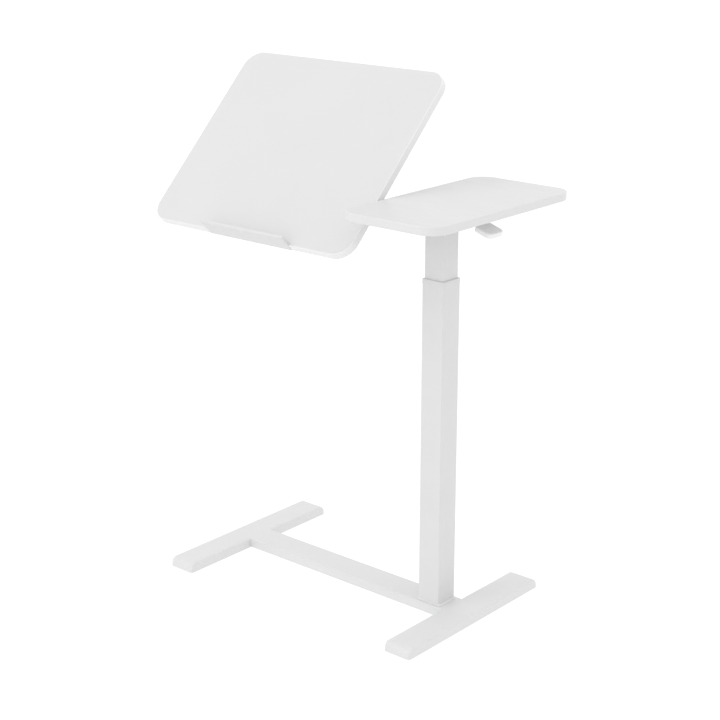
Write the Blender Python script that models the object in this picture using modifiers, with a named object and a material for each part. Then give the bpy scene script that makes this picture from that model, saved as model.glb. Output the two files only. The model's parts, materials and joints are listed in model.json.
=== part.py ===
"""Overbed table: a two-foot base, an off-centre gas-lift column, a small fixed top and a tilting panel.

Metres, +Z up. X runs along the crossbar, towards the column. Y runs along the feet, away from the user.
The origin is on the floor under the middle of the two tops. The column stands on the Y = 0 line.
The height slide, the panel's tilt and the release lever each turn or travel about an empty of their own.
"""

from math import cos, radians, sin, tan

import bmesh
import bpy

# Clearances
GAP = 0.0003  # between pieces that touch
RUN = 0.0002  # each side of a sliding piece
PAST = 0.01  # how far a cutter passes the face that it cuts

# Base
BASE_X = -0.003  # midway between the feet
BASE_WIDTH = 0.6095
FOOT_LENGTH = 0.393
FOOT_WIDTH = 0.0585
FOOT_HEIGHT = 0.0185
FOOT_NOSE_RADIUS = 0.0135
FOOT_EDGE_RADIUS = 0.0050
FOOT_WALL = 0.0035
FOOT_ROOF = 0.0065
FOOT_POCKET_NEAR = 0.040  # from the foot's middle
FOOT_POCKET_END = 0.045  # from the foot's end
GLIDE_HEIGHT = 0.002
GLIDE_RADIUS = 0.011
GLIDE_INSET = 0.024  # from the foot's end
CROSSBAR_WIDTH = 0.060
CROSSBAR_HEIGHT = 0.0185
CROSSBAR_WALL = 0.002
CROSSBAR_EDGE = 0.0018
TONGUE = (0.032, 0.044, 0.008)  # the stub that plugs into a foot
TONGUE_ROOT = 0.004
FOOT_SCREW_INSET = 0.0176
FOOT_SCREW_Y = 0.012
FOOT_SCREW_LENGTH = 0.0100

# Column
COLUMN_X = 0.2084
OUTER_SIDE = 0.048
INNER_SIDE = 0.0426
TUBE_WALL = 0.0015
TUBE_RADIUS = 0.0022
PLATE = (0.056, 0.048, 0.0035)
PLATE_CORNER = 0.004
PLUG_HEIGHT = 0.024
PLUG_CORNER = 0.0015
COLUMN_BOLT_OFFSET = 0.013
COLUMN_BOLT_LENGTH = 0.020
ACCESS_RADIUS = 0.0062  # the holes under the crossbar that let the bolt heads in
OUTER_TOP = 0.645  # top of the collar
COLLAR_HEIGHT = 0.009
COLLAR_SIDE = 0.0490
COLLAR_CORNER = 0.0026
COLLAR_EDGE = 0.0008
SLEEVE_DEPTH = 0.060
SLEEVE_CORNER = 0.0009
INNER_BOTTOM = 0.174
LOWER_BUSH = 0.020
BUSH_CORNER = 0.0012
BUSH_RUN = 0.001  # round the gas cylinder
SPIGOT_HEIGHT = 0.016
SPIGOT_CORNER = 0.0010

# Gas spring
CYLINDER_RADIUS = 0.014
CYLINDER_WALL = 0.0014
CYLINDER_TOP = 0.599
CYLINDER_FLOOR = 0.008
STUD_RADIUS = 0.0050
STUD_LENGTH = 0.0125
GLAND_HEIGHT = 0.015
GLAND_CROWN = 0.0035
GLAND_CHAMFER = 0.003
ROD_RADIUS = 0.005
PISTON_BOTTOM = 0.284
PIN_RADIUS = 0.0018
PIN_BORE = 0.0024
PIN_DEPTH = 0.040  # how deep the rod is bored
PIN_LENGTH = 0.034  # of the pin, below the rod's top
PISTON_HEIGHT = 0.012
THREAD_RADIUS = 0.0045
NUT = (0.0085, 0.0032)  # radius over corners, height
ROD_PROUD = 0.0038  # of the rod above the head plate

# Tops
TOP_Z = 0.7895
SLAB = 0.015
TABLE_DEPTH = 0.400
SMALL_LEFT = 0.1407
SMALL_WIDTH = 0.209
PANEL_GAP = 0.0034
PANEL_WIDTH = 0.487
CORNER_RADIUS = 0.036
ARRIS = 0.0016
TILT = radians(45)
TILT_Y = -0.0852
TILT_DROP = 0.0158  # the tilt axis below the top surface

# Frame under the tops
ARM_HEIGHT = 0.015
ARM_WALL = 0.0018
ARM_FRONT = -0.077  # the long arm's face towards the user
ARM_WIDTH = 0.050
ARM_LEFT = -0.218
ARM_RIGHT = 0.283
RAIL_FRONT = 0.034  # the short rail behind the column
RAIL_WIDTH = 0.040
RAIL_LEFT = 0.157
HEAD_RIGHT = 0.2590
TUBE_EDGE = 0.0020
CAP_THICKNESS = 0.0025
CAP_EDGE = 0.0009
CAP_PLUG = 0.012  # how far it goes into the arm
TOP_PLATE_Y = 0.140  # half the length of the plate under the small top
TOP_PLATE_CORNER = 0.012
SMALL_TOP_SCREWS = ((0.175, 0.265), (-0.118, 0.118))
BUMPERS = ((-0.193, -0.036), (0.080, -0.036))
BUMPER_RADIUS = 0.0055
TOP_PLATE = 0.0024
HEAD_PLATE = 0.004
HINGE_XS = (-0.153, 0.067)
HINGE_LENGTH = 0.064
EAR_LENGTH = 0.016
KNUCKLE_RADIUS = 0.0058
HINGE_PIN_RADIUS = 0.0025
HINGE_PIN_HEAD = (0.0042, 0.0030)  # radius, height
HINGE_RUN = 0.0001
LEAF = 0.0024
LEAF_DEPTH = 0.036
LEAF_REAR = 0.0030  # the leaf's rear edge in front of the axis
LEAF_SLOT = 0.0055
LEAF_SCREW_OFFSETS = ((-0.020, 0.020), -0.024)
RECESS_MARGIN = 0.0012
RECESS_END = 0.006

# Ledge
LEDGE_LEFT = -0.198
LEDGE_RIGHT = 0.006
LEDGE_THICKNESS = 0.0055
LEDGE_PROUD = 0.024
LEDGE_OVERHANG = 0.0010
LEDGE_LEG = 0.026
LEDGE_EDGE = 0.0018
LEG_INSET = 0.004  # of the leg's ends from the ledge's
LEDGE_SCREW_X = 0.070
LEDGE_SCREW_Y = 0.018

# Release lever
LEVER_X = 0.2300
LEVER_RISE = 0.0100  # its axis above the head plate
LEVER_NOSE = 0.0245
LEVER_KINK = 0.2494
LEVER_DROOP = radians(17.7)
LEVER_WIDTH = 0.016
LEVER_THICKNESS = 0.0025
LEVER_BOSS = 0.0032
LEVER_PIN_RADIUS = 0.0015
LEVER_PIN_PROUD = 0.0015
BRACKET_EAR = 0.0020
BRACKET_FLOOR = 0.0016
BRACKET_HALF = 0.007  # half its length along X
BRACKET_SIDE_RUN = 0.0010
BRACKET_PROUD = 0.0042  # of the ears above the pin's axis
STEM_IN_PADDLE = 0.030
PADDLE_START = 0.2935
PADDLE_END = 0.3285
PADDLE_WIDTH = 0.043
PADDLE_DEPTH = 0.0090
PADDLE_OUTER_CORNER = 0.0105
PADDLE_INNER_CORNER = 0.006
PADDLE_EDGE = 0.0012
PADDLE_ROOF = 0.0022  # over the lever's stem
PADDLE_WALL = 0.004
PADDLE_TIP = 0.010  # the solid part of its rounded end

# Screws: head radius, head height, shank radius
WOOD_SCREW = (0.0036, 0.0016, 0.0017)
BASE_SCREW = (0.0052, 0.0024, 0.0028)
TOP_SCREW_LENGTH = 0.012
LEAF_SCREW_LENGTH = 0.011
LEDGE_SCREW_LENGTH = 0.0095

FOOT_BOTTOM = GLIDE_HEIGHT
FOOT_TOP = FOOT_BOTTOM + FOOT_HEIGHT
FOOT_X = BASE_WIDTH / 2 - FOOT_WIDTH / 2
FOOT_INNER = BASE_WIDTH / 2 - FOOT_WIDTH
CROSSBAR_BOTTOM = FOOT_TOP - CROSSBAR_HEIGHT
PLATE_TOP = FOOT_TOP + GAP + PLATE[2]
PLUG_TOP = PLATE_TOP + GAP + PLUG_HEIGHT
SLAB_BOTTOM = TOP_Z - SLAB
TOP_PLATE_TOP = SLAB_BOTTOM - GAP
ARM_TOP = TOP_PLATE_TOP - TOP_PLATE - GAP
ARM_BOTTOM = ARM_TOP - ARM_HEIGHT
HEAD_TOP = ARM_BOTTOM - GAP
HEAD_BOTTOM = HEAD_TOP - HEAD_PLATE
TUBE_TOP = HEAD_BOTTOM - GAP
ROD_TOP = HEAD_TOP + ROD_PROUD
TILT_Z = TOP_Z - TILT_DROP
LEVER_Z = HEAD_TOP + LEVER_RISE
PANEL_RIGHT = SMALL_LEFT - PANEL_GAP
PANEL_LEFT = PANEL_RIGHT - PANEL_WIDTH
PANEL_FRONT = -TABLE_DEPTH / 2


def clear_scene():
    for obj in list(bpy.data.objects):
        bpy.data.objects.remove(obj, do_unlink=True)


def new_collection(name):
    made = bpy.data.collections.new(name)
    bpy.context.scene.collection.children.link(made)
    return made


def new_material(name, colour, roughness, metallic=0.0):
    made = bpy.data.materials.new(name)
    made.use_nodes = True
    shader = made.node_tree.nodes["Principled BSDF"]
    shader.inputs["Base Color"].default_value = (*colour, 1.0)
    shader.inputs["Roughness"].default_value = roughness
    shader.inputs["Metallic"].default_value = metallic
    made.diffuse_color = (*colour, 1.0)
    return made


clear_scene()
PARTS = new_collection("overbed_table")
CUTTERS = new_collection("cutters")
FINISHES = {
    "coat": ((0.86, 0.86, 0.85), 0.42, 0.0),
    "board": ((0.88, 0.88, 0.87), 0.35, 0.0),
    "plastic": ((0.84, 0.84, 0.83), 0.45, 0.0),
    "grey_plastic": ((0.42, 0.43, 0.44), 0.5, 0.0),
    "steel": ((0.60, 0.60, 0.61), 0.3, 1.0),
    "rubber": ((0.10, 0.10, 0.10), 0.8, 0.0),
}


def keep(obj, finish):
    """Names the part's material after it and moves the part into its collection."""
    colour, roughness, metallic = FINISHES[finish]
    obj.data.materials.clear()
    obj.data.materials.append(new_material(obj.name, colour, roughness, metallic))
    move_to(obj, PARTS)
    return obj


def move_to(obj, collection):
    for holder in list(obj.users_collection):
        holder.objects.unlink(obj)
    collection.objects.link(obj)


def as_cutter(obj):
    move_to(obj, CUTTERS)
    obj.hide_render = True
    obj.display_type = "WIRE"
    return obj


def empty_at(name, place):
    made = bpy.data.objects.new(name, None)
    made.location = place
    PARTS.objects.link(made)
    return made


def hang(obj, holder):
    """Parents an object to an empty that has not been turned yet, where it stands."""
    obj.parent = holder
    obj.location = obj.location - holder.location
    return obj


def object_from(name, mesh_data, place):
    mesh = bpy.data.meshes.new(name)
    mesh_data.to_mesh(mesh)
    mesh_data.free()
    made = bpy.data.objects.new(name, mesh)
    made.location = place
    bpy.context.scene.collection.objects.link(made)
    return made


def cube(size):
    made = bmesh.new()
    bmesh.ops.create_cube(made, size=1.0)
    bmesh.ops.scale(made, vec=size, verts=made.verts)
    return made


def bevel_edges(mesh_data, edges, radius, segments):
    bmesh.ops.bevel(
        mesh_data,
        geom=edges,
        offset=radius,
        segments=segments,
        profile=0.5,
        affect="EDGES",
        clamp_overlap=True,
    )


def upright(edge):
    first, second = edge.verts
    return abs(first.co.z - second.co.z) > abs(first.co.x - second.co.x) + abs(first.co.y - second.co.y)


def box(name, low, high, radius=0.0, segments=2):
    """A box between two corners, its edges rounded when a radius is given."""
    size = [b - a for a, b in zip(low, high)]
    centre = [(a + b) / 2 for a, b in zip(low, high)]
    made = object_from(name, cube(size), centre)
    if radius:
        add_bevel(made, radius, segments)
    return made


def add_bevel(obj, radius, segments):
    bevel = obj.modifiers.new("Bevel", "BEVEL")
    bevel.width = radius
    bevel.segments = segments
    bevel.limit_method = "ANGLE"
    bevel.angle_limit = radians(40)
    return bevel


def rounded_block(name, low, high, corner, segments, arris=0.0, arris_segments=1):
    """A block whose four upright edges have a large radius, with a small one round its top and bottom."""
    size = [b - a for a, b in zip(low, high)]
    centre = [(a + b) / 2 for a, b in zip(low, high)]
    mesh_data = cube(size)
    bevel_edges(mesh_data, [edge for edge in mesh_data.edges if upright(edge)], corner, segments)
    made = object_from(name, mesh_data, centre)
    if arris:
        add_bevel(made, arris, arris_segments)
    return made


def turned(name, profile, place, steps=20, closed=False):
    """A solid of revolution about Z. The profile is (radius, height) points, running down its outer side."""
    mesh = bpy.data.meshes.new(name)
    points = [(radius, 0.0, height) for radius, height in profile]
    edges = [(i, i + 1) for i in range(len(points) - 1)]
    if closed:
        edges.append((len(points) - 1, 0))
    mesh.from_pydata(points, edges, [])
    made = bpy.data.objects.new(name, mesh)
    made.location = place
    bpy.context.scene.collection.objects.link(made)
    screw = made.modifiers.new("Screw", "SCREW")
    screw.axis = "Z"
    screw.steps = steps
    screw.render_steps = steps
    screw.use_merge_vertices = True
    screw.merge_threshold = 0.00001
    screw.use_smooth_shade = True
    return made


def rod(name, radius, length, place, axis="Z", sides=12):
    """A plain round bar centred on its place, along one axis."""
    mesh_data = bmesh.new()
    bmesh.ops.create_cone(
        mesh_data, cap_ends=True, segments=sides, radius1=radius, radius2=radius, depth=length
    )
    made = object_from(name, mesh_data, place)
    if axis == "X":
        made.rotation_euler = (0, radians(90), 0)
    if axis == "Y":
        made.rotation_euler = (radians(90), 0, 0)
    return made


def shade(obj):
    for polygon in obj.data.polygons:
        polygon.use_smooth = True
    obj.data.set_sharp_from_angle(angle=radians(35))
    return obj


def boolean(obj, other, operation):
    modifier = obj.modifiers.new(other.name, "BOOLEAN")
    modifier.operation = operation
    modifier.solver = "EXACT"
    modifier.object = other
    return obj


def cut(obj, cutter):
    return boolean(obj, as_cutter(cutter), "DIFFERENCE")


def join(obj, piece):
    return boolean(obj, as_cutter(piece), "UNION")


def square_tube(name, side, wall, bottom, top, inner_corner):
    half = side / 2
    low = (COLUMN_X - half, -half, bottom)
    high = (COLUMN_X + half, half, top)
    made = rounded_block(name, low, high, TUBE_RADIUS, 4)
    inside = half - wall
    hole = rounded_block(
        name + "_hole",
        (COLUMN_X - inside, -inside, bottom - PAST),
        (COLUMN_X + inside, inside, top + PAST),
        inner_corner,
        2,
    )
    return cut(made, hole)


def screw_up(name, size, length, place):
    """A pan-head screw with a round drive recess, its head down and its shank up from place."""
    head, height, shank = size
    recess = 0.45 * head
    profile = [
        (0.0, length),
        (shank, length - shank),
        (shank, 0.0),
        (head, 0.0),
        (0.8 * head, -height),
        (recess, -height),
        (recess, -0.4 * height),
        (0.0, -0.4 * height),
    ]
    return keep(turned(name, profile, place, steps=10), "steel")


def make_foot(name, side):
    """A cast foot, hollow underneath, with a socket for the crossbar's tongue."""
    centre_x = BASE_X + side * FOOT_X
    mesh_data = cube((FOOT_WIDTH, FOOT_LENGTH, FOOT_HEIGHT))
    noses = [
        edge
        for edge in mesh_data.edges
        if all(vert.co.z > 0 for vert in edge.verts) and abs(edge.verts[0].co.y - edge.verts[1].co.y) < 1e-6
    ]
    bevel_edges(mesh_data, noses, FOOT_NOSE_RADIUS, 6)
    floor = -FOOT_HEIGHT / 2 + 1e-6
    sharp = [
        edge
        for edge in mesh_data.edges
        if edge.calc_face_angle(0.0) > 1.0 and any(vert.co.z > floor for vert in edge.verts)
    ]
    bevel_edges(mesh_data, sharp, FOOT_EDGE_RADIUS, 3)
    foot = object_from(name, mesh_data, (centre_x, 0, FOOT_BOTTOM + FOOT_HEIGHT / 2))
    add_foot_hollows(foot, name, centre_x)
    add_foot_socket(foot, name, side)
    return keep(shade(foot), "coat")


def add_foot_hollows(foot, name, centre_x):
    half = FOOT_WIDTH / 2 - FOOT_WALL
    far = FOOT_LENGTH / 2 - FOOT_POCKET_END
    for end in (-1, 1):
        span = sorted((end * FOOT_POCKET_NEAR, end * far))
        low = (centre_x - half, span[0], FOOT_BOTTOM - PAST)
        high = (centre_x + half, span[1], FOOT_TOP - FOOT_ROOF)
        cut(foot, box(f"{name}_hollow_{end}", low, high))


def add_foot_socket(foot, name, side):
    length, width, height = TONGUE
    inner = BASE_X + side * (FOOT_INNER - PAST)
    deep = BASE_X + side * (FOOT_INNER + length + GAP)
    middle = tongue_z()
    low = (min(inner, deep), -width / 2 - GAP, middle - height / 2 - GAP)
    high = (max(inner, deep), width / 2 + GAP, middle + height / 2 + GAP)
    cut(foot, box(name + "_socket", low, high))
    sink_height = 2 * (BASE_SCREW[1] + GAP)
    for number, (x, y, _) in enumerate(foot_screw_places(side), 1):
        place = (x, y, FOOT_BOTTOM)
        cut(foot, rod(f"{name}_hole_{number}", BASE_SCREW[2] + GAP, 2 * PAST, place))
        cut(foot, rod(f"{name}_sink_{number}", BASE_SCREW[0] + GAP, sink_height, place))


def tongue_z():
    return CROSSBAR_BOTTOM + CROSSBAR_HEIGHT / 2


def foot_screw_places(side):
    x = BASE_X + side * (FOOT_INNER + FOOT_SCREW_INSET)
    return [(x, y, FOOT_BOTTOM + BASE_SCREW[1] + GAP) for y in (-FOOT_SCREW_Y, FOOT_SCREW_Y)]


def make_crossbar():
    """A flat steel tube with a solid tongue at each end."""
    end = FOOT_INNER - GAP
    half = CROSSBAR_WIDTH / 2
    low = (BASE_X - end, -half, CROSSBAR_BOTTOM)
    high = (BASE_X + end, half, FOOT_TOP)
    bar = box("crossbar", low, high, CROSSBAR_EDGE, 2)
    wall = CROSSBAR_WALL
    blank = end - TONGUE_ROOT - 0.001
    hollow_low = (BASE_X - blank, -half + wall, CROSSBAR_BOTTOM + wall)
    hollow_high = (BASE_X + blank, half - wall, FOOT_TOP - wall)
    cut(bar, box("crossbar_hollow", hollow_low, hollow_high))
    for number, (x, y) in enumerate(column_bolt_places(), 1):
        cut(bar, rod(f"crossbar_hole_{number}", BASE_SCREW[2] + GAP, 3 * PAST, (x, y, FOOT_TOP)))
        cut(bar, rod(f"crossbar_access_{number}", ACCESS_RADIUS, PAST, (x, y, CROSSBAR_BOTTOM)))
    length, width, height = TONGUE
    middle = tongue_z()
    for side in (-1, 1):
        root = BASE_X + side * (end - TONGUE_ROOT)
        tip = BASE_X + side * (FOOT_INNER + length)
        low = (min(root, tip), -width / 2, middle - height / 2)
        high = (max(root, tip), width / 2, middle + height / 2)
        tongue = box(f"tongue_{side}", low, high)
        for number, (x, y, _) in enumerate(foot_screw_places(side), 1):
            cut(tongue, rod(f"tongue_{side}_hole_{number}", BASE_SCREW[2] + GAP, 3 * PAST, (x, y, middle)))
        join(bar, tongue)
    return keep(bar, "coat")


def column_bolt_places():
    offsets = (-COLUMN_BOLT_OFFSET, COLUMN_BOLT_OFFSET)
    return [(COLUMN_X + dx, dy) for dx in offsets for dy in offsets]


def make_base():
    make_foot("foot_left", -1)
    make_foot("foot_right", 1)
    make_crossbar()
    for index, (side, end) in enumerate(((-1, -1), (-1, 1), (1, -1), (1, 1)), 1):
        make_glide(f"glide_{index}", BASE_X + side * FOOT_X, end * (FOOT_LENGTH / 2 - GLIDE_INSET))
    number = 1
    for side in (-1, 1):
        for place in foot_screw_places(side):
            screw_up(f"foot_screw_{number}", BASE_SCREW, FOOT_SCREW_LENGTH, place)
            number += 1


def make_glide(name, x, y):
    """A round nylon pad. Its face is flat on the floor."""
    top = GLIDE_HEIGHT - GAP
    edge = 0.0008
    profile = [
        (0.0, top),
        (GLIDE_RADIUS, top),
        (GLIDE_RADIUS, edge),
        (GLIDE_RADIUS - edge, 0.0),
        (0.0, 0.0),
    ]
    keep(turned(name, profile, (x, y, 0)), "grey_plastic")


def make_column_foot():
    half_x = PLATE[0] / 2
    half_y = PLATE[1] / 2
    low = (COLUMN_X - half_x, -half_y, FOOT_TOP + GAP)
    high = (COLUMN_X + half_x, half_y, PLATE_TOP)
    plate = rounded_block("base_plate", low, high, PLATE_CORNER, 4)
    inside = OUTER_SIDE / 2 - TUBE_WALL - GAP
    low = (COLUMN_X - inside, -inside, PLATE_TOP + GAP)
    high = (COLUMN_X + inside, inside, PLUG_TOP)
    plug = rounded_block("column_plug", low, high, PLUG_CORNER, 2)
    radius = BASE_SCREW[2] + GAP
    for number, (x, y) in enumerate(column_bolt_places(), 1):
        cut(plate, rod(f"plate_hole_{number}", radius, 2 * PAST, (x, y, PLATE_TOP)))
        cut(plug, rod(f"plug_hole_{number}", radius, 2 * COLUMN_BOLT_LENGTH, (x, y, PLATE_TOP)))
    cut(plug, rod("plug_stud_hole", STUD_RADIUS + GAP, 2 * (STUD_LENGTH + 0.0025), (COLUMN_X, 0, PLUG_TOP)))
    keep(plate, "coat")
    keep(plug, "steel")
    head_seat = FOOT_TOP - CROSSBAR_WALL - GAP
    for number, (x, y) in enumerate(column_bolt_places(), 1):
        screw_up(f"column_bolt_{number}", BASE_SCREW, COLUMN_BOLT_LENGTH, (x, y, head_seat))


def make_outer_column():
    tube_top = OUTER_TOP - COLLAR_HEIGHT - GAP
    tube = square_tube("outer_tube", OUTER_SIDE, TUBE_WALL, PLATE_TOP + GAP, tube_top, 0.0010)
    keep(shade(tube), "coat")
    half = COLLAR_SIDE / 2
    low = (COLUMN_X - half, -half, OUTER_TOP - COLLAR_HEIGHT)
    high = (COLUMN_X + half, half, OUTER_TOP)
    collar = rounded_block("collar", low, high, COLLAR_CORNER, 4, COLLAR_EDGE, 2)
    sleeve_half = OUTER_SIDE / 2 - TUBE_WALL - RUN
    sleeve_low = (COLUMN_X - sleeve_half, -sleeve_half, OUTER_TOP - SLEEVE_DEPTH)
    sleeve_high = (COLUMN_X + sleeve_half, sleeve_half, OUTER_TOP - COLLAR_HEIGHT / 2)
    join(collar, rounded_block("collar_sleeve", sleeve_low, sleeve_high, SLEEVE_CORNER, 2))
    bore_half = INNER_SIDE / 2 + RUN
    bore_low = (COLUMN_X - bore_half, -bore_half, OUTER_TOP - SLEEVE_DEPTH - PAST)
    bore_high = (COLUMN_X + bore_half, bore_half, OUTER_TOP + PAST)
    cut(collar, rounded_block("collar_bore", bore_low, bore_high, TUBE_RADIUS, 4))
    keep(collar, "plastic")


def make_gas_cylinder():
    """The pressure tube with its threaded stud, and the gland that closes its top."""
    bore = CYLINDER_RADIUS - CYLINDER_WALL
    bottom = PLUG_TOP + GAP
    edge = 0.002
    profile = [
        (0.0, bottom + CYLINDER_FLOOR),
        (bore, bottom + CYLINDER_FLOOR),
        (bore, CYLINDER_TOP),
        (CYLINDER_RADIUS, CYLINDER_TOP),
        (CYLINDER_RADIUS, bottom + edge),
        (CYLINDER_RADIUS - edge, bottom),
        (STUD_RADIUS, bottom),
        (STUD_RADIUS, bottom - STUD_LENGTH),
        (0.0, bottom - STUD_LENGTH),
    ]
    keep(turned("gas_cylinder", profile, (COLUMN_X, 0, 0)), "steel")
    gland_low = CYLINDER_TOP - GLAND_HEIGHT
    crown = CYLINDER_TOP + GLAND_CROWN
    gland = [
        (CYLINDER_RADIUS - GLAND_CHAMFER, crown),
        (CYLINDER_RADIUS, crown - GLAND_CHAMFER / 3),
        (CYLINDER_RADIUS, CYLINDER_TOP + GAP),
        (bore - RUN, CYLINDER_TOP + GAP),
        (bore - RUN, gland_low),
        (ROD_RADIUS + RUN, gland_low),
        (ROD_RADIUS + RUN, crown),
    ]
    keep(turned("gas_gland", gland, (COLUMN_X, 0, 0), closed=True), "grey_plastic")


def make_gas_rod(lift):
    """The piston rod, bored for the release pin, and the nut that holds it to the head plate."""
    bore = CYLINDER_RADIUS - CYLINDER_WALL
    edge = ROD_RADIUS - THREAD_RADIUS
    profile = [
        (0.0, ROD_TOP - PIN_DEPTH),
        (PIN_BORE, ROD_TOP - PIN_DEPTH),
        (PIN_BORE, ROD_TOP),
        (THREAD_RADIUS - edge, ROD_TOP),
        (THREAD_RADIUS, ROD_TOP - edge),
        (THREAD_RADIUS, HEAD_BOTTOM - 2 * edge),
        (ROD_RADIUS, HEAD_BOTTOM - 3 * edge),
        (ROD_RADIUS, PISTON_BOTTOM + PISTON_HEIGHT),
        (bore - RUN, PISTON_BOTTOM + PISTON_HEIGHT),
        (bore - RUN, PISTON_BOTTOM),
        (0.0, PISTON_BOTTOM),
    ]
    hang(keep(turned("gas_rod", profile, (COLUMN_X, 0, 0), 16), "steel"), lift)
    nut = rod("rod_nut", NUT[0], NUT[1], (COLUMN_X, 0, HEAD_TOP + GAP + NUT[1] / 2), sides=6)
    cut_hung(nut, rod("rod_nut_hole", THREAD_RADIUS + RUN, 2 * PAST, (COLUMN_X, 0, HEAD_TOP)), lift)
    hang(keep(nut, "steel"), lift)


def cut_hung(obj, cutter, holder):
    """Cuts a piece that will hang from an empty, with a cutter that hangs from it too."""
    cut(obj, cutter)
    return hang(cutter, holder)


def make_inner_column(lift):
    tube = square_tube("inner_tube", INNER_SIDE, TUBE_WALL, INNER_BOTTOM, TUBE_TOP, 0.0008)
    hole = bpy.data.objects["inner_tube_hole"]
    hang(hole, lift)
    hang(keep(shade(tube), "coat"), lift)
    half = OUTER_SIDE / 2 - TUBE_WALL - RUN
    low = (COLUMN_X - half, -half, INNER_BOTTOM - GAP - LOWER_BUSH)
    high = (COLUMN_X + half, half, INNER_BOTTOM - GAP)
    bush = rounded_block("lower_bush", low, high, BUSH_CORNER, 2)
    spigot_half = INNER_SIDE / 2 - TUBE_WALL - RUN
    low = (COLUMN_X - spigot_half, -spigot_half, INNER_BOTTOM - LOWER_BUSH / 2)
    high = (COLUMN_X + spigot_half, spigot_half, INNER_BOTTOM + SPIGOT_HEIGHT)
    spigot = rounded_block("bush_spigot", low, high, SPIGOT_CORNER, 2)
    join(bush, spigot)
    hang(spigot, lift)
    bore = rod("bush_bore", CYLINDER_RADIUS + BUSH_RUN, 0.1, (COLUMN_X, 0, INNER_BOTTOM), sides=20)
    cut_hung(bush, bore, lift)
    hang(keep(bush, "plastic"), lift)


def make_head(lift):
    """The welded frame: head plate, arm, rear rail and the plate that carries the small top."""
    low = (RAIL_LEFT, ARM_FRONT + TUBE_EDGE, HEAD_BOTTOM)
    high = (HEAD_RIGHT, RAIL_FRONT + RAIL_WIDTH, HEAD_TOP)
    head = box("head_plate", low, high)
    cut_hung(head, rod("head_hole", ROD_RADIUS + RUN, 3 * PAST, (COLUMN_X, 0, HEAD_TOP)), lift)
    hang(keep(head, "coat"), lift)
    make_flat_tube("support_arm", ARM_LEFT, ARM_FRONT, ARM_WIDTH, lift)
    make_flat_tube("rear_rail", RAIL_LEFT, RAIL_FRONT, RAIL_WIDTH, lift)
    make_tube_cap("arm_cap_1", ARM_LEFT, -1, ARM_FRONT, ARM_WIDTH, lift)
    make_tube_cap("arm_cap_2", ARM_RIGHT, 1, ARM_FRONT, ARM_WIDTH, lift)
    make_tube_cap("rail_cap_1", RAIL_LEFT, -1, RAIL_FRONT, RAIL_WIDTH, lift)
    make_tube_cap("rail_cap_2", ARM_RIGHT, 1, RAIL_FRONT, RAIL_WIDTH, lift)
    plate = rounded_block(
        "small_top_plate",
        (RAIL_LEFT, -TOP_PLATE_Y, TOP_PLATE_TOP - TOP_PLATE),
        (ARM_RIGHT, TOP_PLATE_Y, TOP_PLATE_TOP),
        TOP_PLATE_CORNER,
        4,
    )
    for number, (x, y) in enumerate(small_top_screw_places(), 1):
        hole = rod(f"top_plate_hole_{number}", WOOD_SCREW[2] + GAP, 2 * PAST, (x, y, TOP_PLATE_TOP))
        cut_hung(plate, hole, lift)
    hang(keep(plate, "coat"), lift)


def make_flat_tube(name, left, front, width, lift):
    """A flat rectangular steel tube along X, open at both ends."""
    tube = box(name, (left, front, ARM_BOTTOM), (ARM_RIGHT, front + width, ARM_TOP), TUBE_EDGE, 2)
    low = (left - PAST, front + ARM_WALL, ARM_BOTTOM + ARM_WALL)
    high = (ARM_RIGHT + PAST, front + width - ARM_WALL, ARM_TOP - ARM_WALL)
    cut_hung(tube, box(name + "_hollow", low, high), lift)
    hang(keep(tube, "coat"), lift)


def make_tube_cap(name, x, side, front, width, lift):
    """A plastic plug in the end of a flat tube that faces along side."""
    rear = front + width
    left, right = sorted((x + side * CAP_THICKNESS, x + side * GAP))
    cap = box(name, (left, front, ARM_BOTTOM), (right, rear, ARM_TOP), CAP_EDGE, 2)
    inset = ARM_WALL + RUN
    left, right = sorted((x + side * CAP_THICKNESS / 2, x - side * CAP_PLUG))
    low = (left, front + inset, ARM_BOTTOM + inset)
    high = (right, rear - inset, ARM_TOP - inset)
    plug = box(f"{name}_plug", low, high)
    join(cap, plug)
    hang(plug, lift)
    hang(keep(cap, "grey_plastic"), lift)


def small_top_screw_places():
    xs, ys = SMALL_TOP_SCREWS
    return [(x, y) for x in xs for y in ys]


def make_small_top(lift):
    low = (SMALL_LEFT, -TABLE_DEPTH / 2, SLAB_BOTTOM)
    high = (SMALL_LEFT + SMALL_WIDTH, TABLE_DEPTH / 2, TOP_Z)
    top = rounded_block("small_top", low, high, CORNER_RADIUS, 9, ARRIS, 2)
    seat = TOP_PLATE_TOP - TOP_PLATE - GAP
    for number, (x, y) in enumerate(small_top_screw_places(), 1):
        hole = rod(f"small_top_hole_{number}", WOOD_SCREW[2] + GAP, 2 * PAST, (x, y, SLAB_BOTTOM))
        cut_hung(top, hole, lift)
        hang(screw_up(f"small_top_screw_{number}", WOOD_SCREW, TOP_SCREW_LENGTH, (x, y, seat)), lift)
    hang(keep(shade(top), "board"), lift)
    for number, (x, y) in enumerate(BUMPERS, 1):
        make_bumper(f"bumper_{number}", x, y, lift)


def make_bumper(name, x, y, lift):
    """The rubber button that the flat panel rests on."""
    height = SLAB_BOTTOM - GAP - ARM_TOP
    edge = 0.001
    profile = [
        (0.0, height),
        (BUMPER_RADIUS - edge, height),
        (BUMPER_RADIUS, height - edge),
        (BUMPER_RADIUS, GAP),
        (0.0, GAP),
    ]
    hang(keep(turned(name, profile, (x, y, ARM_TOP), 16), "rubber"), lift)


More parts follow.
